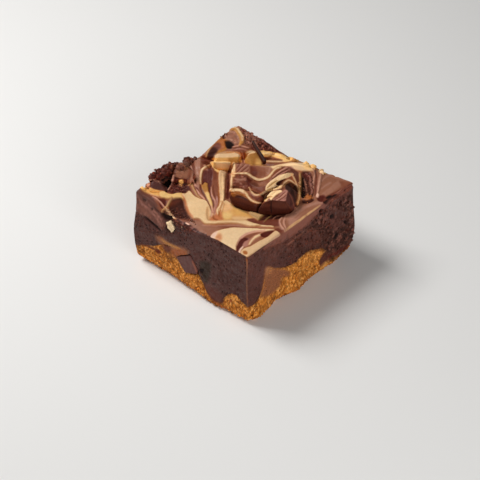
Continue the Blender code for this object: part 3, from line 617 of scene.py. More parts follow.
POOL_PAINT: Paint = (
    Patch(Tone.BLONDE, (182, 195, 186, 194, 188.6, 191.6, 190.7, 192.2, 194.3, 196.4, 200, 199.2, 205, 200.6,
        208.6, 204.6, 211, 210, 213, 214, 216, 213, 219, 208.6, 222, 204, 226, 201, 231, 204, 234, 206, 240, 209.5,
        248, 213.5, 256, 218, 256, 220, 246, 221, 252, 223.5, 260, 226, 250, 226.4, 238, 224, 225, 223.6, 212, 224.3,
        205, 223.9, 202, 221.5, 199, 219.2, 193, 218.2, 189, 214, 186.5, 208, 185, 201), 0.6, 0.6),
    Patch(Tone.GOLD, (222, 213, 228, 210, 233, 206, 240, 210, 248, 213.5, 255, 217.5, 256, 219.5, 248, 220,
        238, 219.8, 224, 219.8), 1.6),
    Patch(Tone.LIGHT_GOLD, (221, 213.4, 228, 211.4, 233, 214, 232, 219.5, 222, 220), 3.4),
    Patch(Tone.PEACH, (221, 206, 226, 203.5, 231, 205, 233, 208, 229, 211, 222, 211.5), 2.4),
    Patch(Tone.CREAM, (233, 217, 246, 217.4, 253, 219, 246, 220.8, 234, 220.6), 1.6, 0.0, 0.6),
    Stroke(Tone.OLIVE, (231, 205, 236, 208, 246, 212.6, 255, 216), 1.6, soft=1.4),
    Patch(Tone.ORANGE, (209.6, 219.6, 212, 216.6, 216, 214, 221, 213, 222.4, 217, 223, 220.3, 216, 221.6, 210, 221.2),
        2.0, 0.0, 0.95),
    Stroke(Tone.ORANGE, (183, 196.5, 185.3, 202, 186.9, 208, 189.2, 213.6, 193, 217.6), 1.3, soft=0.9),
    Stroke(Tone.PALE_PINK, (211.9, 206, 212.2, 211, 211.6, 217), 1.6, soft=1.0),
    Stroke(Tone.PINK, (216.8, 197, 217, 202, 216, 208, 214.6, 215), 2.4, soft=0.9, rise=0.2),
    Stroke(Tone.CREAM, (221.4, 203, 219.6, 207, 217.4, 210.6, 217.6, 215), 1.7, rise=0.35),
    Stroke(Tone.CREAM, (223.4, 205, 221.8, 209, 221.2, 212), 1.1, rise=0.2),
    Stroke(Tone.TAN, (208, 209, 207.6, 214, 208.2, 220), 1.2, soft=1.0),
    Stroke(Tone.ORANGE_BROWN, (221, 210.6, 219.6, 214, 219.4, 218), 1.0, soft=0.9),
    Stroke(Tone.COOKIE_RED, (213.4, 216, 214.4, 219, 217.6, 220.4), 1.8, soft=1.2),
)
FRONT_PAINT: Paint = (
    Patch(Tone.BROWN_MILK, (174, 221, 183, 218.5, 192, 218.5, 200, 219.2, 205, 224, 225, 224, 245, 225.4, 262, 226.5,
        280, 228, 285, 231, 276, 239, 248, 258, 236, 253, 224, 246, 210, 239, 196, 232, 184, 226), 0.8),
    Patch(Tone.MILK, (190, 221.5, 199, 220.5, 207, 226, 222, 228, 210, 235, 206, 237, 196, 230), 1.6),
    Stroke(Tone.MAUVE, (203, 225, 220, 226, 235, 225.6, 255, 226.9, 274, 228.4), 2.4),
    Stroke(Tone.RED_BROWN, (218, 226.8, 232, 226.9, 248, 227.6, 262, 228.6), 0.9),
    Stroke(Tone.CREAM, (205, 222.8, 215, 223, 230, 222, 245, 222, 254, 224.6, 262, 226, 273, 226.9), 2.2, rise=0.3),
    Patch(Tone.CREAM, (211, 237.3, 213, 234, 218, 231, 225, 229, 235, 227.8, 250, 228.4, 262, 229, 277, 229.8,
        268, 231.2, 258, 232, 250, 233.3, 243, 236.3, 239, 240, 236.5, 245, 235.3, 251, 231, 248.5, 226, 245,
        219, 241.2), 0.7, 0.3),
    Patch(Tone.ORANGE, (215.5, 236.5, 219.5, 234, 222, 237, 220.5, 240.8, 216, 239.8), 2.0, 0.0, 0.7),
    Patch(Tone.PINK_CREAM, (210.3, 237.6, 212.6, 233.6, 218, 230.8, 217, 233.6, 213.6, 238.6), 0.9),
    Stroke(Tone.PALE_PINK, (236.8, 250, 237.8, 244, 240.8, 238.6, 246.5, 234.6, 255, 231.8, 265, 230.6), 1.9),
    Patch(Tone.DARK_RED, (240, 240, 243, 238, 247.8, 237.8, 248.3, 239.2, 245, 241, 243, 244, 241, 247.5,
        239.3, 250.5, 236.8, 252.5, 236.8, 247, 238.3, 243), 0.5, -0.3),
    Patch(Tone.PINK, (243, 246.5, 244, 242.5, 247, 240.5, 251, 238, 256, 234.5, 263, 231.8, 262.5, 235, 257, 239,
        252, 243, 247, 246.8), 0.8),
    Stroke(Tone.CREAM, (249, 244.5, 252, 240.5, 256, 237, 262, 234.2), 2.1, rise=0.2),
    Stroke(Tone.MILK, (247, 247.2, 252, 244.7, 257, 240.7, 263, 237.5), 1.5),
    Patch(Tone.DARK_RED, (260.3, 234.5, 264, 232.2, 269, 231, 274.5, 230.8, 271, 233.6, 268, 236.3, 265, 237.3,
        262, 236.3), 0.5, -0.2),
    Patch(Tone.SHADED_CREAM, (240.8, 252.5, 244, 248.5, 250, 246.8, 256, 243.2, 262, 239.8, 268, 236.8, 272, 233.2,
        275.5, 231, 278.5, 232, 280.5, 234.2, 276, 238, 270, 242, 264, 246, 258, 250, 252, 254, 248, 256.6,
        244, 255.6), 0.6, 0.25),
    Stroke(Tone.PINK_CREAM, (239.4, 253.5, 240, 250, 243, 246.8), 2.2, rise=0.1),
    Patch(Tone.ORANGE_BROWN, (243, 251.7, 246, 251, 247.6, 252.7, 247, 254.8, 244, 254.2), 0.7),
    Patch(Tone.RED_BROWN, (274, 229.6, 281, 227.6, 284.5, 230.3, 283, 232.6, 281, 234.2, 278, 231.6), 0.7),
)
RIGHT_PAINT: Paint = (
    Patch(Tone.MILK, (272, 222, 279, 216, 290, 211, 298, 203, 303, 196, 312, 190, 316, 170, 322, 172, 334, 174,
        353, 181, 350, 187, 330, 200, 300, 221, 286, 231), 0.9),
    Patch(Tone.LIGHT_MILK, (288, 222, 293, 212, 301, 206, 305, 209, 300, 216, 292, 226), 2.0),
    Stroke(Tone.LIGHT_MILK, (302, 209, 311, 205, 318, 202.8, 324, 201.5), 3.4, soft=1.4),
    Stroke(Tone.MILK, (295, 218, 304, 211, 314, 206), 1.6, soft=1.2),
    # Painted light: pale pink at half strength lifts the shadow that the cluster casts here
    Patch(Tone.PALE_PINK, (286, 213, 294, 208, 303, 205, 301, 211, 290, 219, 284, 219), 2.4, 0.0, 0.5),
    Patch(Tone.LIGHT_MILK, (322, 194, 330, 187.5, 337, 181.5, 340.5, 181.3, 341.8, 184.5, 336, 189.3, 332, 193,
        325, 195), 1.0, 0.2, 0.5),
    Patch(Tone.BROWN_MILK, (340, 181, 352, 183, 349, 187, 342, 189, 341, 185), 1.4),
    # Painted shade: the dark crevice and the shadow below the ledge, in dark red, brown and black
    Patch(Tone.DARK_RED, (317.5, 196.5, 324, 195, 326, 198, 323, 201.4, 318, 200.5), 0.9, -0.3),
    Patch(Tone.RED_BROWN, (324, 197.4, 330, 194.6, 336, 191, 341, 187.6, 339, 191, 333, 195.6, 327, 199.6,
        323, 201.6), 0.9, -0.3),
    Patch(Tone.BLACK, (326, 197, 330, 194.8, 331.4, 196, 327.4, 198.6), 0.7, -0.4),
    Stroke(Tone.LIGHT_MILK, (321, 181, 326, 177, 331, 175), 1.4, soft=1.0),
    Stroke(Tone.LIGHT_MILK, (321, 189, 327, 184.5, 331, 182.5), 1.4, soft=1.0),
    Stroke(Tone.MAUVE, (326, 174, 338, 178, 351, 182), 1.3, soft=0.9),
    Patch(Tone.DEEP_BROWN, (301, 173, 310, 172, 313, 180, 313, 196, 303, 198, 300.5, 188), 0.8, -0.3),
    Patch(Tone.DARK_RED, (303, 172, 310, 173, 311, 177, 309, 180, 306, 178, 304, 176), 0.8, -0.4),
    # Painted shade: black in the sunk hole
    Patch(Tone.BLACK, (301, 178, 303, 176, 304.6, 180, 305, 190, 304.6, 196, 301.6, 196, 300.5, 188), 0.8, -1.2),
    Stroke(Tone.PINK, (306, 173, 309.8, 176.6, 310, 183, 312, 190, 311, 196), 1.2, soft=0.7, rise=0.3),
    Stroke(Tone.MAUVE, (303.6, 178, 305.4, 183, 306.4, 190, 308.6, 195), 1.0, soft=0.7, rise=0.3),
    # Painted shade: dark in the groove between the ribbons
    Stroke(Tone.DARK, (305, 176, 307.6, 182, 309.2, 190, 309.6, 196), 1.1, soft=0.7, rise=-0.4),
    Stroke(Tone.OLIVE, (301.4, 176, 301.6, 184, 301.4, 192), 1.0),
    # Painted shade: dark under the orange crumb, here and in the stroke after it
    Patch(Tone.DARK, (301.4, 200.4, 306, 199.2, 312, 198, 314, 200, 309, 202.8, 303.4, 203), 0.8, -0.2),
    Patch(Tone.ORANGE_BROWN, (303.5, 199, 307, 194.6, 310, 195.6, 311.5, 198.5, 307, 200.4), 0.7, 0.4),
    Stroke(Tone.DARK, (303, 201, 308, 202, 313, 199.6), 1.6, rise=-0.2),
    Stroke(Tone.PALE_PINK, (312.4, 169, 315, 173.4, 313.4, 181, 313.2, 189), 1.2, rise=0.3),
    Stroke(Tone.RED_BROWN, (315.4, 170, 316.4, 177, 315.8, 186, 315.2, 195), 2.0, rise=-0.3),
    Stroke(Tone.PALE_PINK, (321.4, 172, 320, 178.6, 318.6, 186.6, 317.6, 194), 2.0, rise=0.4),
    Patch(Tone.RED_BROWN, (333, 195.6, 340, 189, 350, 183.6, 352, 185.4, 342, 192.6, 335, 198), 1.2, 0.0, 0.6),
    Patch(Tone.GLINT, (316.4, 194.2, 318.6, 194, 319.2, 196, 317.6, 197.6, 316.2, 196.4), 0.6, 0.2),
    # Painted shadow: dark and red-brown below the cluster's front
    Patch(Tone.DARK, (256, 221.5, 262, 215, 268, 212, 277, 213, 286, 213, 282, 217, 276, 219.5, 266, 220), 0.9, -0.3),
    Patch(Tone.RED_BROWN, (247, 219.8, 254, 218.6, 258, 220.6, 266, 219.4, 276, 219.2, 279.5, 222, 279, 226,
        268, 225.6, 258, 224.6, 252, 222.4), 0.9),
    Patch(Tone.TAN, (248.6, 212.6, 254, 210.4, 260, 210.2, 264.5, 212, 262, 216.2, 258.5, 220, 254.6, 218.8,
        250.3, 215.8), 0.8, 0.3),
    Stroke(Tone.OLIVE, (258.5, 220, 262, 216, 268, 213), 1.1, rise=0.2),
    Stroke(Tone.OLIVE, (264, 222, 267, 218.6, 272, 215.2), 1.1, rise=0.2),
    Stroke(Tone.PALE_PINK, (281.8, 217.6, 279.6, 222, 281, 226, 284.6, 230.2), 1.6, rise=0.3),
    Stroke(Tone.PALE_PINK, (285.2, 217.6, 283.8, 222, 284.6, 226, 286.2, 229.6), 1.2, rise=0.25),
    Stroke(Tone.MAUVE, (296.5, 207.6, 291, 213, 283, 214.5, 276, 216.3, 273, 219.4), 1.2, rise=0.2),
    Stroke(Tone.MAUVE, (296.5, 211, 290, 215.2, 283, 219), 1.1, rise=0.15),
    # Painted highlights: the thin light lines along the top's right and front edges
    Stroke(Tone.PINK, (352, 184, 340, 191.4, 328, 199.6, 318, 206.4), 1.4, soft=0.8),
    Stroke(Tone.PEACH, (320, 205, 310, 212, 300, 219, 290, 226, 284, 231), 0.8, soft=0.5, taper=0.9),
    Stroke(Tone.PALE_PINK, (284, 231, 279, 235, 270, 241.4), 1.0, soft=0.6),
)
CLUSTER_PAINT: Paint = (
    Patch(Tone.MAUVE, (234, 163.5, 250, 164.5, 249, 173, 235.5, 174), 0.8),
    Stroke(Tone.RED_BROWN, (235.8, 172.8, 240, 168.5, 244, 164.6), 1.2, rise=-0.3),
    Stroke(Tone.RED_BROWN, (240, 173.2, 244, 169, 249, 165.4), 1.2, rise=-0.3),
    Stroke(Tone.RED_BROWN, (236, 168.6, 239.6, 164.2), 1.0, rise=-0.2),
    Stroke(Tone.RED_BROWN, (244.8, 173.4, 247.4, 170.4, 250, 168.4), 1.0, rise=-0.2),
    Stroke(Tone.PINK, (238, 172, 242, 168, 246, 164.8), 0.9),
    Patch(Tone.BROWN_MILK, (231.5, 175.5, 248, 174.5, 249.5, 188, 243, 191, 231.5, 190), 0.8),
    Grit(Tone.PINK, Tone.RED_BROWN, (233, 175.5, 247, 175, 247.5, 187, 240, 189, 233, 188), 1.4, 1.3, 0.15, 0.6),
    Stroke(Tone.LIGHT_MILK, (234, 178.4, 240, 179.8, 245, 178.6), 2.2, soft=1.4),
    Stroke(Tone.RED_BROWN, (234, 184, 240, 185.6, 246, 184.6), 1.4, soft=1.0, rise=-0.1),
    # Painted shade: a dark crease
    Patch(Tone.DARK_RED, (247.3, 176.5, 250, 178.6, 253, 181, 252.6, 187, 250, 191, 247.3, 186), 1.2, -0.3, 0.85),
    Patch(Tone.MILK, (250, 166, 270.5, 167.4, 271.5, 173, 266, 177.6, 259.5, 178.6, 252, 175), 1.0),
    Patch(Tone.BROWN_MILK, (253, 166.6, 261.6, 168, 262.6, 176, 256, 178.6), 2.0, 0.0, 0.8),
    Patch(Tone.RED_BROWN, (250, 166.5, 255.4, 167.5, 257.4, 172, 255.6, 177, 251.5, 176.4), 1.6),
    Stroke(Tone.BROWN_MILK, (264, 167.6, 264.6, 172, 264.4, 176.6), 1.6, soft=1.4),
    Stroke(Tone.LIGHT_MILK, (269.6, 167.6, 269.2, 172, 267, 176), 1.8, soft=1.4),
    Patch(Tone.BROWN_MILK, (252.5, 180.6, 268.5, 179.6, 268, 190, 257, 191, 251, 186), 0.8),
    Patch(Tone.MILK, (256, 184, 266, 182, 266, 189, 258, 190), 2.0),
    # Painted shade: the same dark crease
    Patch(Tone.DEEP_BROWN, (250, 182, 256, 182.6, 258.6, 185.4, 258, 187, 251, 186.5), 1.4, 0.0, 0.8),
    Patch(Tone.RED_BROWN, (256, 187.4, 266, 186, 265, 191, 258, 192), 1.4, 0.0, 0.7),
    Patch(Tone.RED_BROWN, (251, 191, 256, 195.6, 264, 193.6, 264, 202, 256, 200, 250.6, 196), 0.9),
    Patch(Tone.BROWN_MILK, (270, 180, 276, 170, 283, 166.5, 292, 167.5, 293, 172, 282, 175.4), 0.9),
    Stroke(Tone.RED_BROWN, (272.6, 175.4, 279, 169.8, 285, 167), 1.1, rise=-0.2),
    Stroke(Tone.PALE_PINK, (272.8, 177.4, 279.6, 171.6, 287.4, 167.8), 1.2, rise=0.25),
    Stroke(Tone.DEEP_BROWN, (273.4, 178.6, 280.6, 172.8, 288.6, 168.8), 0.9, rise=-0.2),
    Stroke(Tone.PINK, (274.4, 179, 281.6, 174, 289.6, 169.8), 1.2, rise=0.2),
    Stroke(Tone.DEEP_BROWN, (276, 179, 283, 174.8, 290.4, 171.2), 0.9, rise=-0.15),
    # Painted shade, with the chocolate's own dark colour: the ridged chunk's right side, turned from the light
    Patch(Tone.DEEP_BROWN, (290, 168.6, 296, 170.6, 299, 174.6, 300, 186, 297, 182, 293, 176), 0.7),
    Patch(Tone.BROWN_MILK, (267, 187, 271.5, 182, 280, 179, 290, 176.6, 294, 182, 288, 186, 285, 191, 276, 192,
        268.6, 191), 0.8),
    # Painted shade, with the chocolate's own dark colour: the corner chunk's right faces, turned from the light
    Patch(Tone.DARK_GREY, (285, 187, 288.6, 183, 292.6, 182.4, 296.5, 187, 298.4, 196, 297.4, 206, 293, 206,
        289, 197), 0.8),
    Stroke(Tone.DEEP_BROWN, (291, 184.4, 294.4, 190, 296, 198), 1.8, soft=1.2),
    Patch(Tone.MAROON, (286.6, 190.4, 289, 192, 293.4, 197, 295, 206, 292.4, 211.4, 288, 206, 285.6, 200), 0.8),
    # Painted shade, with the dark chocolate's own colour: the ledge's dark front faces
    Patch(Tone.DARK, (232.6, 196.5, 240, 195.6, 250, 199.6, 262.4, 203.6, 272, 200, 285, 201, 289, 206, 292.4, 211.4,
        287, 214.6, 272, 215.6, 262, 214.6, 252, 212, 240, 209.6, 233.6, 205.6), 0.6),
    Patch(Tone.DEEP_BROWN, (234, 197.6, 244, 198.4, 256, 203.6, 270, 204, 270, 206.6, 256, 206.4, 242, 202,
        234, 200.6), 1.6, 0.0, 0.55),
    Patch(Tone.DEEP_BROWN, (272.6, 202, 284, 202.6, 288, 207, 284, 208.6, 273, 207), 1.6, 0.0, 0.6),
    Stroke(Tone.BLACK, (271.4, 202, 271, 207.6, 271.8, 213.4), 0.8, soft=0.6),
    Stroke(Tone.DEEP_BROWN, (285.4, 200.8, 288.8, 206, 292.2, 211.2), 0.9, soft=0.6),
    Stroke(Tone.BROWN_MILK, (288.8, 192.6, 292.2, 199, 294.2, 207), 0.7, soft=0.6),
    Patch(Tone.PINK, (273, 200, 278, 196, 284, 190, 287.6, 190.8, 286.6, 196, 285.3, 201, 279, 200.6), 0.6),
    Stroke(Tone.RED_BROWN, (275, 199.8, 280, 196.6, 285.4, 191.8), 0.9, rise=-0.15),
    Stroke(Tone.PALE_PINK, (276.6, 200.2, 281.4, 197, 286.2, 192.8), 1.0, rise=0.1),
    Stroke(Tone.RED_BROWN, (278.8, 200.4, 282.8, 197.8, 286, 195), 0.9, rise=-0.15),
    Patch(Tone.LIT_CREAM, (264, 200.6, 264.4, 196.6, 266.4, 194, 272, 191.6, 280, 190.2, 282, 191.8, 276.6, 195,
        273, 198.4, 271, 200.6, 269, 198.6, 266, 201.6), 0.6, 0.25),
    Stroke(Tone.CARAMEL, (266, 192.6, 270, 190.8, 276, 190), 0.8, soft=0.8),
    Stroke(Tone.LEAF_GOLD, (264.6, 201, 268, 197.6, 272, 197), 1.2, soft=0.8),
    Patch(Tone.COOKIE_DARK, (230.8, 192.6, 238, 191.6, 246, 195.4, 249, 199.2, 243, 196.4, 238, 194.6, 233.6, 197),
        1.1),
    Stroke(Tone.ORANGE_BROWN, (231.4, 194, 236, 192.8, 242, 194, 247, 197.4), 0.9),
    Stroke(Tone.CREAM, (230.6, 190.7, 238, 190.2, 243, 191.7, 247.4, 195.2), 2.9, rise=0.35, taper=0.2),
    Stroke(Tone.SHADED_CREAM, (245, 193.6, 249, 198, 252.4, 201, 256.4, 202.2, 261.5, 203), 2.0, rise=0.25),
    Stroke(Tone.CREAM, (234, 163.6, 233.7, 171, 233.6, 176), 3.2, rise=0.3, taper=0.2),
    Stroke(Tone.CREAM, (232.8, 175, 232, 182, 231.4, 190), 1.5, rise=0.3, taper=0.2),
    Stroke(Tone.CREAM, (233.8, 173.6, 241, 173.3, 247, 173.6, 252, 177, 257, 179.5, 263, 179.4, 268, 177.3,
        271.4, 174, 275, 169.8, 281, 167.4), 1.9, rise=0.25),
    Stroke(Tone.SHADED_CREAM, (249, 187.5, 252, 193, 256.4, 195.6, 262, 194, 266, 191.6, 274, 189.6), 1.6, rise=0.25),
    Patch(Tone.LIT_CREAM, (265.4, 190, 266, 186.2, 269.6, 182, 276, 177.6, 282, 174.8, 290, 172.6, 292.8, 174.6,
        288.6, 177.2, 284, 179.2, 280, 181, 277.6, 184, 279.6, 185.8, 283, 185.8, 280, 188.8, 274, 190.4, 267.4, 191),
        0.6, 0.35),
    Stroke(Tone.CARAMEL, (266.8, 190.6, 272, 189, 279, 187.6), 1.2, soft=1.0),
    Patch(Tone.DARK, (276, 184, 278, 181.6, 282, 179.6, 286, 178.6, 284.4, 181, 281.4, 183.4, 280, 185.4,
        277.6, 185.4), 0.6, -0.3),
    Stroke(Tone.LEAF_GOLD, (267.4, 188, 272, 184, 277, 180.6), 1.0, soft=1.0),
    Stroke(Tone.SHADED_CREAM, (291.4, 174, 294, 178.6, 296, 184, 298.2, 188.4, 298.8, 195, 297, 203), 1.5, rise=0.25),
    Stroke(Tone.SHADED_CREAM, (281.6, 186.4, 284, 183, 286.4, 180.8, 288.6, 180, 292, 181.6, 294.6, 183.6), 1.7,
        rise=0.25),
    Stroke(Tone.OLIVE, (283.4, 187, 285.6, 184, 288.6, 181.8), 0.9),
    Stroke(Tone.LIGHT_GOLD, (300, 173.6, 300.2, 180, 299.4, 188, 299.6, 196, 297.4, 204.6), 1.4, rise=0.25),
)
LEFT_PAINT: Paint = (
    Grit(Tone.RED_BROWN, Tone.DARK_RED, (140, 184, 146, 176, 158, 163, 176, 160, 192, 155, 192, 176, 186, 192,
        172, 193, 158, 190, 144, 188), 1.0, 1.1, 0.6),
    Patch(Tone.BROWN_MILK, (150, 197, 160, 198, 170, 199, 169, 206, 164, 212, 156, 212), 0.9),
    Patch(Tone.SLAB, (136, 190, 146, 192, 152, 197, 160, 209, 165, 221, 164, 231, 150, 223, 136, 214), 0.9),
    Patch(Tone.GOLD, (141, 186, 149, 187, 156, 189.5, 164, 191.5, 166, 195.5, 160, 196.8, 152, 195, 143, 191), 0.8,
        0.4),
    Patch(Tone.LIGHT_GOLD, (161, 191.8, 172, 194.4, 180, 192.6, 184.6, 195.6, 184.8, 199.6, 176, 198.8, 166, 199,
        160, 196.6), 0.7, 0.5),
    Patch(Tone.DARK_RED, (159, 198.6, 166, 200, 165.8, 207, 163, 209.6, 159, 203), 0.8, -0.3),
    Patch(Tone.DARK, (170.6, 200.6, 177, 198.8, 182, 199.2, 184.4, 206, 187, 213, 190, 219.4, 183, 220, 176, 216,
        171, 212, 168.6, 206), 0.7, -0.3),
    Grit(Tone.RED_BROWN, Tone.DARK, (169, 208, 178, 206, 184, 209, 190, 218, 182, 221, 172, 216), 2.0, 0.8, 0.3, 0.5),
    Patch(Tone.RED_BROWN, (172, 200, 178, 198.8, 181, 200, 176, 203.6, 171, 206, 169.4, 204), 1.8, 0.0, 0.6),
    Grit(Tone.RED_BROWN, Tone.DARK, (171, 210, 180, 212, 188, 217, 195, 221, 190, 229, 178, 226, 170, 220), 1.2, 0.9,
        0.45),
    # Painted shade: the hollow under the drizzle
    Patch(Tone.DARK_GREY, CORNER_HOLE, 0.7, -0.8),
    *CORNER_DRIZZLE,
    Stroke(Tone.PALE_PINK, (176, 219.6, 180, 221, 183.4, 223), 0.9),
    # Painted shade: black in a sunk hollow
    Patch(Tone.BLACK, (164, 177, 170, 178, 172, 184, 168, 189, 163, 187, 161, 181), 1.0, -1.0),
    Patch(Tone.MILK, (170, 166, 178, 164.4, 191, 167, 192, 174, 186, 179, 174, 176), 0.9),
    # Painted shadow: dark below the milk chunk
    Stroke(Tone.DARK, (172, 178, 180, 181, 188, 182, 190, 178), 2.6, soft=1.2, rise=-0.3),
    Patch(Tone.MAROON, (150, 181, 160, 182, 167, 186, 166, 190.6, 156, 189, 148, 185), 0.9),
    Stroke(Tone.PALE_PINK, (147.6, 180, 154, 179.8, 160.4, 183), 1.4),
    Stroke(Tone.TAN, (178, 165.8, 184, 166.8, 189.4, 167.6), 1.6, rise=0.2),
    Grit(Tone.RED_BROWN, Tone.DARK_RED, (174, 180, 190, 180, 190, 192, 170, 192), 1.0, 0.8, 0.3),
    # Painted shade: the milk chunk's shaded left side
    Patch(Tone.DEEP_BROWN, (169.6, 170, 172.6, 166.4, 176, 166, 176.4, 170, 175, 176, 171, 177), 1.0, 0.0, 0.8),
    Stroke(Tone.PALE_PINK, (174.4, 175.6, 171.4, 184, 168, 190.4), 1.7, rise=0.6),
    Patch(Tone.GOLD, (178.8, 180.6, 182.6, 179.8, 183.4, 184.6, 179.4, 185.2), 0.6, 0.6),
    Patch(Tone.MAROON, (184, 184, 188, 183, 189, 190, 187, 193.6, 184.4, 192, 182.6, 188), 0.7),
    Stroke(Tone.PALE_PINK, (189.6, 183, 188.6, 187, 189, 191), 1.0, rise=0.2),
)
TOP_PAINT: Paint = (*LEFT_PAINT, *REAR_PAINT, *STRAND_PAINT, *FRONT_PAINT, *POOL_PAINT, *RIGHT_PAINT,
                    *CLUSTER_PAINT)
# What it shows on the pieces that are set in the front side; the first stroke is a painted highlight streak on the
# dark chunk
INSET_PAINT: Paint = (
    Stroke(Tone.BROWN_MILK, (192.5, 261, 195, 266, 197, 271), 1.2, soft=1.0),
    Stroke(Tone.BROWN_MILK, (184, 271, 190, 274, 197, 274), 1.0, soft=1.0),
)
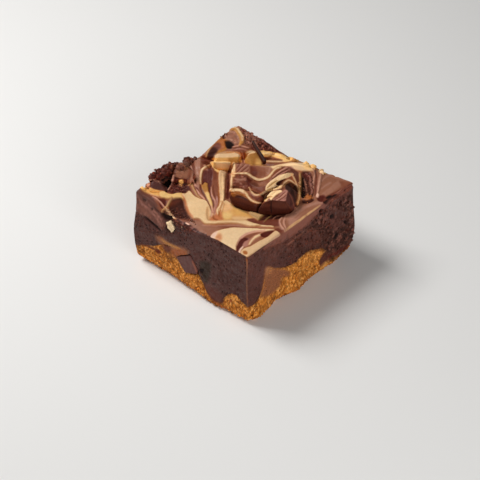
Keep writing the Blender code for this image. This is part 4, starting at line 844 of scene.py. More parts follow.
# What it shows on the two cut sides
SIDE_PAINT: Paint = (
    Patch(Tone.SMEAR_AND_EDGE_HIGHLIGHT, (156, 235, 162, 237, 168, 243, 176, 246, 184, 248, 189, 252, 186, 256.5, 178, 257.5, 170, 254,
        163, 247, 157, 240), 2.6),
    Patch(Tone.COOKIE_RED, (172, 250, 178, 248.6, 185, 251, 186, 254.6, 179, 256, 173, 254), 1.6, 0.0, 0.7),
    Patch(Tone.MAROON, (163, 246, 168, 245, 171, 249, 168, 253, 164, 251), 1.4, 0.0, 0.7),
    Patch(Tone.DARK_RED, (154.6, 250, 158, 249, 161, 252.6, 158, 254), 0.9, -0.1, 0.8),
    Stroke(Tone.LEAF_GOLD, (162, 240, 166, 242.6, 172, 245.6, 179, 248.6), 2.0, soft=2.0),
    Stroke(Tone.DEEP_BROWN, (142, 244, 150, 246.8, 157, 250), 1.5, soft=1.2),
    Stroke(Tone.COOKIE_RED, (209, 293, 213, 300, 220, 305.4, 227, 308), 1.4, soft=1.0),
    Patch(Tone.OLIVE_FUDGE, (200, 262, 210, 263, 210, 275, 206, 284, 201, 275), 2.6),
    # Painted shade: black in a small sunk pit
    Patch(Tone.BLACK, (199.6, 269, 203, 269.6, 203.4, 272.6, 200.4, 272.2), 0.8, -0.3),
    Patch(Tone.RED_FUDGE, (204, 283, 212, 286, 222, 295, 223, 303, 214, 301, 208, 293), 1.8),
    Patch(Tone.COOKIE_LIGHT, (228, 298, 232, 295.6, 235, 298, 232, 300), 1.2, 0.0, 0.6),
    Patch(Tone.COOKIE_RED, (229.6, 299.6, 231.6, 299.4, 232, 301.6, 230, 302), 0.8),
    Patch(Tone.SMEAR_AND_EDGE_HIGHLIGHT, (265, 270, 268, 266.5, 273, 268, 288, 270.5, 289, 275.5, 282, 278, 280, 285, 275, 291, 270, 295,
        264, 297, 261, 296, 263, 286, 264, 277), 2.2),
    Patch(Tone.TAN, (265.6, 269, 270, 266.4, 272.6, 270, 267, 275), 2.0, 0.0, 0.25),
    Patch(Tone.COOKIE_LIGHT, (300, 268, 308, 258, 318, 250.6, 325, 250, 327, 253, 320, 261, 310, 266), 2.6, 0.0, 0.2),
    Patch(Tone.BAND, (262, 250, 270, 241.6, 279, 235, 290, 227.6, 300, 220, 310, 213.6, 320, 206.6, 334, 196,
        350, 185.6, 350, 190, 338, 198, 326, 207, 321, 212, 314, 219, 307, 226, 298, 233, 290, 239, 280, 244,
        268, 249), 1.6),
    Patch(Tone.RED_BROWN, (330, 199, 340, 190, 350, 184.6, 351, 189, 340, 197, 332, 203), 1.2, 0.0, 0.6),
    Stroke(Tone.MAUVE, (288, 244.6, 297, 237.4, 304, 232, 306.6, 229), 1.2, soft=1.0),
    Patch(Tone.DARK_GREY, (300, 234, 325, 226, 331, 244, 312, 250, 300, 254, 296, 246), 4.0, 0.0, 0.7),
    Grit(Tone.BAND, Tone.DARK_GREY, (318, 214, 336, 201, 351, 192, 355, 200, 353, 244, 340, 254, 328, 262, 324, 250,
        330, 232, 312, 236, 306, 230), 3.4, 1.7, 0.9, 0.8),
    Grit(Tone.SLAB, Tone.DEEP_BROWN, (262, 252, 276, 240, 296, 232, 312, 226, 322, 232, 320, 244, 300, 246, 284, 254,
        270, 262), 4.0, 1.5, 0.3, 0.45),
    Patch(Tone.RED_FUDGE, (327, 212, 334, 208, 344, 210, 346, 220, 341, 228, 332, 230, 326, 224), 3.0, 0.0, 0.6),
    # Painted shade: black and dark in sunk pits, the first also the shade under the topping's edge
    Patch(Tone.BLACK, (324, 202, 328, 196, 336, 193, 337, 196, 331, 199, 327, 204), 1.4, -0.7, 0.9),
    Patch(Tone.BLACK, (319, 212, 321, 209, 323, 212, 321, 215), 0.9, -0.5),
    Patch(Tone.BLACK, (340, 202, 342, 201.4, 343, 204, 341, 205), 0.8, -0.5),
    Patch(Tone.DARK, (337, 205, 339, 205, 339, 208, 337, 208), 0.8, -0.4),
    Patch(Tone.BLACK, (344, 220.6, 346.4, 221, 346, 224, 344, 223), 0.9, -0.5),
    Patch(Tone.BLACK, (330, 216, 333, 214, 334, 217, 331, 219), 0.9, -0.5),
    Patch(Tone.DARK, (345, 229, 347.4, 229, 347, 232, 345, 231.4), 0.8, -0.4),
    Patch(Tone.BLACK, (334, 236, 338, 233, 339, 236, 335, 239), 1.0, -0.6),
    Stroke(Tone.RED_FUDGE, (320, 214, 330, 206, 342, 197.4, 352, 191), 1.6, soft=1.2, rise=-0.2),
    Patch(Tone.RED_FUDGE, (300, 238, 314, 231, 322, 236, 316, 246, 304, 248), 3.0, 0.0, 0.6),
    Patch(Tone.RED_FUDGE, (322, 256, 327, 252, 332, 255, 326, 262, 321.6, 266, 319.6, 263), 1.6, -0.4),
    Patch(Tone.COOKIE_LIGHT, (320, 268.4, 324, 263, 328, 261.4, 327.4, 266, 322, 270.6), 1.4, 0.2, 0.6),
    Patch(Tone.SLAB, CORNER_SLAB, 1.2),
    Grit(Tone.PINK, Tone.DEEP_BROWN, CORNER_SLAB, 1.6, 1.1, 0.2, 0.35),
    Stroke(Tone.PINK, (140, 200, 148, 208, 156, 217, 161, 225), 1.0, soft=0.9, rise=0.1),
    Stroke(Tone.DEEP_BROWN, (138, 203, 145, 209.6, 152, 217.6, 158, 225), 1.1, soft=0.9, rise=-0.15),
    Stroke(Tone.PINK, (149, 205, 156, 213, 162, 221), 0.9, soft=0.9, rise=0.1),
    Patch(Tone.LIGHT_MILK, (140, 205, 147, 210, 152, 216, 148, 216, 142, 211), 2.0, 0.1, 0.3),
    Patch(Tone.DEEP_BROWN, CORNER_SLAB, 2.0, 0.0, 0.25),
    # Painted shade: two sunk pits and the black crack below them
    Patch(Tone.DARK_GREY, (143, 197.6, 146.6, 198, 146, 201, 143.4, 200.6), 0.7, -0.3),
    Patch(Tone.DARK_GREY, (151, 207.6, 153.4, 208, 153, 210, 151.4, 210), 0.6, -0.2),
    Stroke(Tone.BLACK, (144.6, 216.6, 150, 221.6, 155, 226, 160, 231), 2.0, soft=0.8, rise=-0.6, taper=0.7),
    # Painted shadow: beside the pale chip
    Patch(Tone.DARK_GREY, (164.6, 226, 168, 227, 171, 232.6, 167, 232.4), 0.9),
    Grit(Tone.RED_BROWN, Tone.DARK, (146, 192, 160, 200, 172, 212, 186, 218, 198, 224, 196, 232, 180, 228, 166, 218,
        154, 208), 1.6, 0.9, 0.3, 0.75),
    # Painted shade: the hollow under the drizzle
    Patch(Tone.BLACK, CORNER_HOLE, 0.7, -0.8),
    *CORNER_DRIZZLE,
    # Painted highlight: the thin light line down the front corner edge, in this stroke and the next
    Stroke(Tone.ORANGE_BROWN, (246.6, 257, 247, 262, 247, 268), 0.9, soft=0.9),
    Stroke(Tone.SMEAR_AND_EDGE_HIGHLIGHT, (247, 264, 247, 275, 246.8, 290, 247.6, 307), 0.9, soft=0.8),
    Stroke(Tone.DARK_RED, (329, 257, 340, 250.6, 348, 246, 352.4, 238, 352, 226), 2.2, soft=1.2),
)


# Pale chocolate thins to an amber rim where it meets the rest
PALE = (Tone.CREAM, Tone.BLONDE, Tone.SHADED_CREAM, Tone.GOLD, Tone.LIGHT_GOLD, Tone.TAN)


@dataclass
class Painter:
    """Paints points with the patches and strokes that fall on what the photograph's camera sees."""

    camera: PhotoCamera
    solids: BVHTree
    clearance: float = 0.9
    # A face that turns away by no more than this still counts as seen
    grazing: float = -0.05
    # How much of the relief below it a mark takes away
    smothering: float = 0.5
    wobble: float = 0.35
    wobble_size: float = 1.6

    def facing(self, points: np.ndarray, normals: np.ndarray) -> np.ndarray:
        """Which points of a surface, hidden or not, face the photograph's camera."""
        return (normals * (self.camera.place() - points)).sum(axis=1) > 0

    def seen(self, points: np.ndarray, normals: np.ndarray) -> np.ndarray:
        """Which points the photograph's camera sees.

        Args:
            points: places on the surface.
            normals: the surface's outward directions there.

        Returns:
            One flag a point.
        """
        place = self.camera.place()
        toward = place - points
        toward /= np.linalg.norm(toward, axis=1)[:, None]
        flags = (normals * toward).sum(axis=1) > self.grazing
        starts = points + toward * self.clearance
        for k in np.nonzero(flags)[0]:
            hit = self.solids.ray_cast(Vector(starts[k]), Vector(toward[k]))
            flags[k] = hit[0] is None
        return flags

    def paint(self, points: np.ndarray, seen: np.ndarray, tint: np.ndarray, work: Paint) -> np.ndarray:
        """Lays paint on the tint of the points that are seen.

        Args:
            points: places on the surface.
            seen: which of them the camera sees.
            tint: the points' colours, which it changes.
            work: patches and strokes, the last on top.

        Returns:
            The relief of the paint, in millimetres.
        """
        rise = np.zeros(len(points))
        index = np.nonzero(seen)[0]
        if not len(index):
            return rise
        shown = points[index]
        places = self.camera.picture_points(shown)
        for axis in range(2):
            places[:, axis] += self.wobble * Grain.layered(shown, self.wobble_size, 90 + 5 * axis, 2)
        for mark in work:
            drawn = np.array(mark.line if isinstance(mark, Stroke) else mark.outline, float).reshape(-1, 2)
            margin = 3 * mark.soft + (mark.width if isinstance(mark, Stroke) else 1.0)
            near = np.all((places > drawn.min(axis=0) - margin) & (places < drawn.max(axis=0) + margin),
                          axis=1)
            if not near.any():
                continue
            chosen = index[near]
            if isinstance(mark, Grit):
                tint[chosen], lift = mark.spread(shown[near], places[near], tint[chosen])
                rise[chosen] += lift
                continue
            cover, rim, lift = mark.weigh(places[near])
            if mark.tone in PALE:
                tint[chosen] += (RIM_TONE.rgb - tint[chosen]) * (RIM_STRENGTH * rim)[:, None]
            tint[chosen] += (mark.tone.rgb - tint[chosen]) * cover[:, None]
            rise[chosen] = rise[chosen] * (1 - self.smothering * cover) + lift
        return rise


@dataclass(frozen=True)
class Finish:
    """A procedural finish whose colour is the pieces' own tint, broken up by fine noise."""

    name: str
    roughness: tuple[float, float]
    mottle: float
    mottle_size: float
    bump: float
    bump_size: float
    specular: float = 0.4
    subsurface: float = 0.0
    # How much rougher it is where its tint is darkest, and between which brightnesses that fades
    dulling: float = 0.4
    dark: tuple[float, float] = (0.008, 0.045)

    def build(self) -> bpy.types.Material:
        """Makes the material.

        Returns:
            The material, with colour, roughness and bump from its nodes.
        """
        made = bpy.data.materials.new(self.name)
        made.use_nodes = True
        nodes, links = made.node_tree.nodes, made.node_tree.links
        shader = nodes["Principled BSDF"]
        place = nodes.new("ShaderNodeTexCoord").outputs["Object"]
        tint = nodes.new("ShaderNodeAttribute")
        tint.attribute_name = TINT

        mottles = self._noise(nodes, links, place, self.mottle_size, 4.0)
        scale = nodes.new("ShaderNodeVectorMath")
        scale.operation = "SCALE"
        links.new(tint.outputs["Color"], scale.inputs[0])
        links.new(self._stretch(nodes, links, mottles, (0.3, 0.7), (1 - self.mottle, 1 + self.mottle)),
                  scale.inputs["Scale"])
        links.new(scale.outputs["Vector"], shader.inputs["Base Color"])

        sheen = self._noise(nodes, links, place, self.mottle_size * 2.3, 2.0)
        dull = nodes.new("ShaderNodeMath")
        dull.operation = "ADD"
        links.new(self._stretch(nodes, links, sheen, (0.35, 0.65), self.roughness), dull.inputs[0])
        links.new(self._stretch(nodes, links, tint.outputs["Fac"], self.dark, (self.dulling, 0.0)),
                  dull.inputs[1])
        links.new(dull.outputs["Value"], shader.inputs["Roughness"])

        bump = nodes.new("ShaderNodeBump")
        bump.inputs["Strength"].default_value = 0.8
        bump.inputs["Distance"].default_value = self.bump * MM
        links.new(self._noise(nodes, links, place, self.bump_size, 5.0), bump.inputs["Height"])
        links.new(bump.outputs["Normal"], shader.inputs["Normal"])
        shader.inputs["Specular IOR Level"].default_value = self.specular
        shader.inputs["Subsurface Weight"].default_value = self.subsurface
        shader.inputs["Subsurface Radius"].default_value = (1.0, 0.5, 0.25)
        shader.inputs["Subsurface Scale"].default_value = 1.2 * MM
        return made

    @staticmethod
    def _stretch(nodes: bpy.types.Nodes, links: bpy.types.NodeLinks, value: bpy.types.NodeSocket,
                 given: tuple[float, float], wanted: tuple[float, float]) -> bpy.types.NodeSocket:
        """Stretches one range of values onto another.

        Args:
            nodes: the material's nodes.
            links: the material's links.
            value: what is stretched.
            given: the range that it comes in.
            wanted: the range that it gets.

        Returns:
            The stretched value's output.
        """
        stretch = nodes.new("ShaderNodeMapRange")
        for socket, number in zip(("From Min", "From Max", "To Min", "To Max"), (*given, *wanted)):
            stretch.inputs[socket].default_value = number
        links.new(value, stretch.inputs["Value"])
        return stretch.outputs["Result"]

    @staticmethod
    def _noise(nodes: bpy.types.Nodes, links: bpy.types.NodeLinks, place: bpy.types.NodeSocket, size: float,
               detail: float) -> bpy.types.NodeSocket:
        """A noise texture whose lumps are of a size in millimetres.

        Args:
            nodes: the material's nodes.
            links: the material's links.
            place: the coordinates.
            size: length of a lump.
            detail: how many finer layers it has.

        Returns:
            The noise's output.
        """
        noise = nodes.new("ShaderNodeTexNoise")
        noise.inputs["Scale"].default_value = 1 / (size * MM)
        noise.inputs["Detail"].default_value = detail
        links.new(place, noise.inputs["Vector"])
        return noise.outputs["Fac"]


TINT = "tint"
FINISHES = {
    Slot.COOKIE: Finish("golden baked cookie", (0.7, 0.95), 0.34, 0.5, 0.5, 0.4, 0.2),
    Slot.BROWNIE: Finish("fudgy brownie crumb", (0.34, 0.8), 0.2, 0.55, 0.3, 0.45, 0.22),
    Slot.MILK: Finish("marbled set chocolate", (0.38, 0.56), 0.055, 1.1, 0.08, 0.7, 0.16, 0.03),
    Slot.BLONDE: Finish("blonde chocolate", (0.4, 0.55), 0.06, 1.6, 0.06, 0.9, 0.16, 0.06),
    Slot.DARK: Finish("dark chocolate", (0.3, 0.48), 0.1, 1.2, 0.06, 0.7, 0.25),
    Slot.NUT: Finish("chopped nut", (0.5, 0.7), 0.12, 0.8, 0.12, 0.5, 0.3),
}


def read_mesh(mesh: bpy.types.Mesh) -> tuple[np.ndarray, np.ndarray]:
    """Turns a mesh in metres into arrays.

    Args:
        mesh: the mesh.

    Returns:
        Its vertices in the slice's frame, and its triangles.
    """
    points = np.zeros(len(mesh.vertices) * 3)
    mesh.vertices.foreach_get("co", points)
    mesh.calc_loop_triangles()
    faces = np.zeros(len(mesh.loop_triangles) * 3, np.int32)
    mesh.loop_triangles.foreach_get("vertices", faces)
    return points.reshape(-1, 3) / MM - CENTRING, faces.reshape(-1, 3)


@dataclass(frozen=True)
class Ground:
    """A finished skin that crumbs can lie on: its points, outward directions, which are seen, and colours."""

    points: np.ndarray
    normals: np.ndarray
    seen: np.ndarray
    tint: np.ndarray


@dataclass
class Kitchen:
    """What every piece is made with: the frame's solids, the painter and the finishes."""

    nodes: dict[str, bpy.types.Object]
    camera: PhotoCamera = field(default_factory=PhotoCamera)
    materials: dict[Slot, bpy.types.Material] = field(init=False)
    painter: Painter = field(init=False)
    grounds: dict[str, Ground] = field(default_factory=dict)

    def __post_init__(self) -> None:
        """Builds the finishes and the painter."""
        self.materials = {slot: finish.build() for slot, finish in FINISHES.items()}
        self.painter = Painter(self.camera, self.tree(*self.nodes))

    def tree(self, *names: str) -> BVHTree:
        """Gathers the triangles of some CAD nodes, for casting rays at them.

        Args:
            names: the nodes.

        Returns:
            One tree of them all.
        """
        points: list[np.ndarray] = []
        faces: list[np.ndarray] = []
        count = 0
        for name in names:
            own_points, own_faces = read_mesh(self.nodes[name].data)
            points.append(own_points)
            faces.append(own_faces + count)
            count += len(own_points)
        return BVHTree.FromPolygons(np.vstack(points).tolist(), np.vstack(faces).tolist())

    def serve(self, name: str, points: np.ndarray, faces: np.ndarray, tint: np.ndarray, slot: Slot,
              replaced: str | None, smooth: bool = True) -> bpy.types.Object:
        """Makes a piece of the slice and puts it on its body.

        Args:
            name: the piece's name.
            points: its vertices, in the slice's frame.
            faces: its faces, all triangles or all quads.
            tint: its vertices' colours, from 0 to 255.
            slot: the material slot that it takes its finish from.
            replaced: the CAD node that it stands for, if any.
            smooth: whether its faces run into each other.

        Returns:
            The piece.
        """
        mesh = bpy.data.meshes.new(name)
        corners = faces.shape[1]
        mesh.vertices.add(len(points))
        mesh.vertices.foreach_set("co", ((points + CENTRING) * MM).ravel())
        mesh.loops.add(faces.size)
        mesh.loops.foreach_set("vertex_index", faces.astype(np.int32).ravel())
        mesh.polygons.add(len(faces))
        mesh.polygons.foreach_set("loop_start", np.arange(0, faces.size, corners, dtype=np.int32))
        mesh.polygons.foreach_set("use_smooth", np.full(len(faces), smooth))
        mesh.update(calc_edges=True)
        share = np.maximum(tint, 0) / np.maximum(tint.max(axis=1, keepdims=True), 255)
        linear = np.where(share <= 0.04045, share / 12.92, ((share + 0.055) / 1.055) ** 2.4)
        layer = mesh.color_attributes.new(TINT, "FLOAT_COLOR", "POINT")
        layer.data.foreach_set("color", np.hstack([linear, np.ones((len(points), 1))]).astype(np.float32).ravel())
        mesh.materials.append(self.materials[slot])
        made = bpy.data.objects.new(name, mesh)
        bpy.context.scene.collection.objects.link(made)
        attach(made, BODY)
        if replaced is not None:
            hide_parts(replaced)
        return made


def swirls(points: np.ndarray, seed: int) -> np.ndarray:
    """Marbling for what the photograph doesn't show.

    Args:
        points: places on the surface.
        seed: which marbling.

    Returns:
        Colours from 0 to 255.
    """
    warp = np.stack([Grain.layered(points, 9.0, seed + 11 * k, 2) for k in range(3)], axis=1)
    bands = np.sin(points @ np.array((0.35, 0.5, 0.3)) + 6.0 * warp[:, 0] + 3.0 * warp[:, 1])
    blonde = ease((bands - 0.35) / 0.25)
    dark = ease((-bands - 0.75) / 0.2)
    tint = Tone.MILK.fill(len(points))
    tint += 14 * warp[:, 2:3]
    gold = ease(0.5 + warp[:, 1])[:, None]
    pale = Tone.BLONDE.rgb * (1 - gold) + Tone.GOLD.rgb * gold
    tint += (pale - tint) * blonde[:, None]
    Tone.DEEP_BROWN.lay(tint, dark)
    return tint


@dataclass
class SliceSkin:
    """The slice's four sides and its top, cast from the CAD solids and made fine.

    Columns run round the slice from its front left corner, and rows run up each side through the cookie, the
    brownie and the topping's edge. Neighbouring layers share the row where they meet.
    """

    kitchen: Kitchen
    steps_x: int = 240
    steps_y: int = 256
    cookie_rows: int = 34
    brownie_rows: int = 70
    topping_rows: int = 12
    outer: float = 8.0
    inner: float = 14.0
    # The rays: steps of height up to the last one, how far they reach, and where those on the top start
    scan_step: float = 0.35
    scan_top: float = 40.0
    ray_length: float = 24.0
    drop_height: float = 60.0
    rim_inset: float = 0.7
    rim_height: float = 33.0
    deepest: float = 3.2
    # How far the readings are evened: round and up the sides, along the seams, and over the top
    side_evening: tuple[float, float] = (1.6, 1.0)
    seam_evening: float = 1.2
    top_evening: float = 2.6
    lowest_seam: float = 0.8
    thinnest_topping: float = 0.6
    # The upper edge and the foot draw in: over which height, and by how much
    edge_round: tuple[float, float] = (0.9, 0.45)
    foot_round: tuple[float, float] = (1.0, 0.5)
    # Painted light: the sides' tones are raised by this factor, as upright faces get less light than the top
    side_light_lift: float = 1.2
    corner_reach: float = 0.07
    # How far the corners stand out at heights: heights, then the left and the right corner's swell
    swell_heights: tuple[float, ...] = (1.0, 3.0, 8.0, 13.0, 18.0)
    left_swell: tuple[float, ...] = (0.0, 0.8, 1.05, 0.55, 0.4)
    right_swell: tuple[float, ...] = (0.0, 0.5, 1.0, 0.7, 0.2)

    def __post_init__(self) -> None:
        """Casts the sides and the top."""
        self.columns = 2 * (self.steps_x + self.steps_y)
        self._lay_rays()
        self._scan_sides()
        self._cast_top()
        self._lay_rows()

    def _lay_rays(self) -> None:
        """Sets each column's ray: its start outside the slice, its direction and its side."""
        signs = ((-1, -1), (1, -1), (1, 1), (-1, 1))
        starts, aims, sides, shares = [], [], [], []
        for side, steps in enumerate((self.steps_x, self.steps_y) * 2):
            share = np.arange(steps)[:, None] / steps
            here, there = np.array(signs[side]), np.array(signs[(side + 1) % 4])
            corner = here * (1 - share) + there * share
            starts.append(corner * np.array((HALF_X + self.outer, HALF_Y + self.outer)))
            aims.append(corner * np.array((HALF_X - self.inner, HALF_Y - self.inner)))
            sides.append(np.full(steps, side))
            shares.append(share[:, 0])
        self.starts = np.vstack(starts)
        self.inward = np.vstack(aims) - self.starts
        self.inward /= np.linalg.norm(self.inward, axis=1)[:, None]
        self.side = np.concatenate(sides)
        self.share = np.concatenate(shares)

    def _scan_sides(self) -> None:
        """Finds how deep each layer lies along the rays, at steps of height."""
        trees = [self.kitchen.tree(name) for name in ("cookie_base", "brownie_layer", "chocolate_topping")]
        self.heights = np.arange(self.scan_step / 2, self.scan_top, self.scan_step)
        depth = np.full((self.columns, len(self.heights)), np.nan)
        owner = np.full((self.columns, len(self.heights)), -1)
        for k in range(self.columns):
            direction = Vector((*self.inward[k], 0.0))
            for row, z in enumerate(self.heights):
                start = Vector((*self.starts[k], z))
                best = math.inf
                for layer, tree in enumerate(trees):
                    distance = tree.ray_cast(start, direction, self.ray_length)[3]
                    if distance is not None and distance < best:
                        best = distance
                        owner[k, row] = layer
                if best < math.inf:
                    depth[k, row] = best
        usual = np.nanmedian(depth, axis=1)[:, None]
        depth[np.abs(depth - usual) > self.deepest] = np.nan
        rows = np.arange(len(self.heights))
        boundaries = np.full((self.columns, 2), np.nan)
        for k in range(self.columns):
            known = ~np.isnan(depth[k])
            depth[k] = np.interp(rows, rows[known], depth[k][known])
            for layer in range(2):
                below = np.nonzero((owner[k] <= layer) & (owner[k] >= 0) & known)[0]
                above = np.nonzero((owner[k] > layer) & known)[0]
                if len(below) and len(above):
                    boundaries[k, layer] = (self.heights[below[-1]] + self.heights[above[0]]) / 2
        columns = np.arange(self.columns)
        for layer in range(2):
            known = ~np.isnan(boundaries[:, layer])
            boundaries[:, layer] = np.interp(columns, columns[known], boundaries[known, layer])
        depth = blur(depth, self.side_evening[0], 0, around=True)
        self.depth = blur(depth, self.side_evening[1], 1, around=False)
        self.boundaries = blur(boundaries, self.seam_evening, 0, around=True)

    def _cast_top(self) -> None:
        """Finds the topping's height on a regular grid of the plan, evened a little."""
        tree = self.kitchen.tree("chocolate_topping")
        plan_x = np.linspace(-HALF_X, HALF_X, self.steps_x + 1)
        plan_y = np.linspace(-HALF_Y, HALF_Y, self.steps_y + 1)
        height = np.zeros((self.steps_x + 1, self.steps_y + 1))
        down = Vector((0, 0, -1))
        far_x, far_y = HALF_X - self.rim_inset, HALF_Y - self.rim_inset
        for i, x in enumerate(np.clip(plan_x, -far_x, far_x)):
            for j, y in enumerate(np.clip(plan_y, -far_y, far_y)):
                hit = tree.ray_cast(Vector((x, y, self.drop_height)), down)[0]
                height[i, j] = hit.z if hit is not None else np.nan
        gaps = np.isnan(height)
        height[gaps] = np.nanmedian(height)
        for axis in range(2):
            height = blur(height, self.top_evening, axis, around=False)
        self.top_height = height

    def read_top(self, x: np.ndarray, y: np.ndarray) -> np.ndarray:
        """The evened height of the topping at plan points.

        Args:
            x: the points' first coordinates.
            y: their second ones.

        Returns:
            Their heights.
        """
        u = np.clip((x + HALF_X) / (2 * HALF_X) * self.steps_x, 0, self.steps_x - 1e-6)
        v = np.clip((y + HALF_Y) / (2 * HALF_Y) * self.steps_y, 0, self.steps_y - 1e-6)
        i, j = u.astype(int), v.astype(int)
        du, dv = u - i, v - j
        top = self.top_height
        return ((top[i, j] * (1 - du) + top[i + 1, j] * du) * (1 - dv)
                + (top[i, j + 1] * (1 - du) + top[i + 1, j + 1] * du) * dv)

    def _at(self, column: np.ndarray, z: np.ndarray) -> np.ndarray:
        """Points of the sides at heights.

        Args:
            column: the points' columns.
            z: their heights.

        Returns:
            The points, in arrays of the same layout.
        """
        row = np.clip((z - self.heights[0]) / self.scan_step, 0, len(self.heights) - 1.001)
        low = row.astype(int)
        part = row - low
        deep = self.depth[column, low] * (1 - part) + self.depth[column, low + 1] * part
        flat = self.starts[column] + self.inward[column] * deep[..., None]
        return np.concatenate([flat, z[..., None]], axis=-1)

    def _lay_rows(self) -> None:
        """Lays the rows of all three layers up the sides, with their relief and colour."""
        columns = np.arange(self.columns)
        rim = self._at(columns, np.full(self.columns, self.rim_height))
        wiggle = np.stack([0.35 * Grain.layered(rim, 2.2, 31, 2), 0.25 * Grain.layered(rim, 3.0, 37, 2)], axis=1)
        top = self.read_top(rim[:, 0], rim[:, 1])
        levels = [np.zeros(self.columns), np.maximum(self.boundaries[:, 0] + wiggle[:, 0], self.lowest_seam),
                  self.boundaries[:, 1] + wiggle[:, 1], top]
        levels[2] = np.minimum(levels[2], top - self.thinnest_topping)
        heights = []
        for low, high, rows in zip(levels, levels[1:], (self.cookie_rows, self.brownie_rows, self.topping_rows)):
            share = np.arange(rows) / rows
            heights.append(low[:, None] + (high - low)[:, None] * share)
        heights.append(top[:, None])
        z = np.concatenate(heights, axis=1)
        column = np.tile(columns[:, None], (1, z.shape[1]))
        flat = self._at(column, z).reshape(-1, 3)
        where = column.ravel()
        outward = np.hstack([-self.inward[where], np.zeros((len(flat), 1))])
        self.levels = levels
        relief, tint = self._dress(flat, where, levels)
        normal = np.array(((0, -1, 0), (1, 0, 0), (0, 1, 0), (-1, 0, 0)), float)[self.side[where]]
        seen = self.kitchen.painter.seen(flat, normal)
        relief += self.kitchen.painter.paint(flat, seen, tint, SIDE_PAINT)
        # Painted light: the sides are brightened against the weaker light they get
        tint *= self.side_light_lift
        for gap, (reach, draw) in ((top[where] - flat[:, 2], self.edge_round), (flat[:, 2], self.foot_round)):
            relief -= draw * np.clip(1 - gap / reach, 0, 1)**2
        points = flat + outward * relief[:, None]
        for layer, low, high in (("cookie", 0, self.cookie_rows),
                                 ("brownie", self.cookie_rows, self.cookie_rows + self.brownie_rows)):
            row = np.tile(np.arange(z.shape[1]), self.columns)
            chosen = (row >= low) & (row < high)
            self.kitchen.grounds[layer] = Ground(points[chosen], normal[chosen], seen[chosen], tint[chosen])
        shape = z.shape
        self.side_points = points.reshape(*shape, 3)
        self.side_tint = tint.reshape(*shape, 3)

    def _dress(self, flat: np.ndarray, where: np.ndarray, levels: list[np.ndarray]
               ) -> tuple[np.ndarray, np.ndarray]:
        """Relief and colour of the sides before the photograph's own marks.

        Args:
            flat: points of the sides.
            where: their columns.
            levels: the heights where the layers meet, a number a column.

        Returns:
            The relief in millimetres outward, and the tint.
        """
        side, share = self.side[where], self.share[where]
        along_y = flat[:, 1]
        crumbly = np.where(side == 1, ease((along_y - 4) / 16), 0.0)
        crumbly = np.where(side >= 2, 0.75, crumbly)
        crumbly = np.where(side == 0, 0.25 * ease((-18 - flat[:, 0]) / 10), crumbly)

        coarse, own = Grain.cells(flat, 1.25, 101)
        fine, fine_own = Grain.cells(flat, 0.64, 131)
        lumps = Grain.layered(flat, 3.4, 151)
        cookie_relief = 0.34 * (0.55 - coarse) + 0.2 * (0.5 - fine) + 0.22 * lumps
        grains = 0.4 * own + 0.6 * fine_own
        cookie = Tone.COOKIE.fill(len(flat))
        Tone.COOKIE_LIGHT.lay(cookie, ease((grains - 0.56) / 0.24))
        Tone.COOKIE_DARK.lay(cookie, ease((0.42 - grains) / 0.2))
        # Painted shade: darker in the gaps between the granules, where the relief sinks
        cookie *= (1 - 0.24 * ease((coarse - 0.6) / 0.3) - 0.15 * ease((fine - 0.6) / 0.3))[:, None]
        cookie *= (1.04 + 0.12 * lumps)[:, None]

        fudge = Grain.layered(flat, 1.5, 171)
        broad = Grain.layered(flat, 6.0, 181)
        pore, pore_own = Grain.cells(flat, 1.25, 191)
        pits = ease((0.36 - pore) / 0.2) * (pore_own > 0.72 - 0.4 * crumbly)
        brownie_relief = 0.07 * fudge + 0.1 * broad - 0.3 * pits
        brownie_relief += crumbly * (0.55 * Grain.layered(flat, 2.6, 201) + 0.3 * (0.5 - fine) - 0.4 * pits)
        brownie = Tone.FUDGE.fill(len(flat))
        Tone.RED_FUDGE.lay(brownie, np.where(side == 1, 0.3 + 0.7 * crumbly, 0.6 * crumbly))
        patchy = 0.5 + 0.5 * Grain.layered(flat, 9.0, 187, 2) + 0.8 * crumbly
        # Painted shade: the pores, which the relief sinks, are darkened through the pits term
        brownie *= (1 + 0.24 * np.clip(patchy, 0.15, 1.2) * fudge + 0.14 * broad - 0.6 * pits)[:, None]
        # Painted highlights: tiny light specks stand for glints on the fudge
        glint_speck = (fine_own > 0.9) * ease((0.4 - fine) / 0.2)
        Tone.SLAB.lay(brownie, 0.5 * glint_speck)

        edge = np.where((side == 1)[:, None], brownie * 1.12, brownie)
        unseen = (side >= 2)[:, None]
        edge = np.where(unseen, swirls(flat, 5) * 0.85, edge)
        edge_relief = 0.06 * fudge + 0.08 * broad

        low = ease(0.5 + (flat[:, 2] - levels[1][where]) / 0.9)
        high = ease(0.5 + (flat[:, 2] - levels[2][where]) / 0.8)
        relief = cookie_relief * (1 - low) + brownie_relief * low
        relief = relief * (1 - high) + edge_relief * high
        sharp_low = ease(0.5 + (flat[:, 2] - levels[1][where]) / 0.35)[:, None]
        sharp_high = ease(0.5 + (flat[:, 2] - levels[2][where]) / 0.6)[:, None]
        dusk = np.clip(1 - np.abs(flat[:, 2] - levels[1][where]) / 1.6, 0, 1)[:, None]
        tint = cookie * (1 - sharp_low) + brownie * sharp_low
        tint *= 1 - 0.12 * dusk
        tint = tint * (1 - sharp_high) + edge * sharp_high
        corner_fade = ease(np.minimum(share, 1 - share) * 14 + 0.25)
        return relief * corner_fade + self._swell(side, share, flat[:, 2]), tint

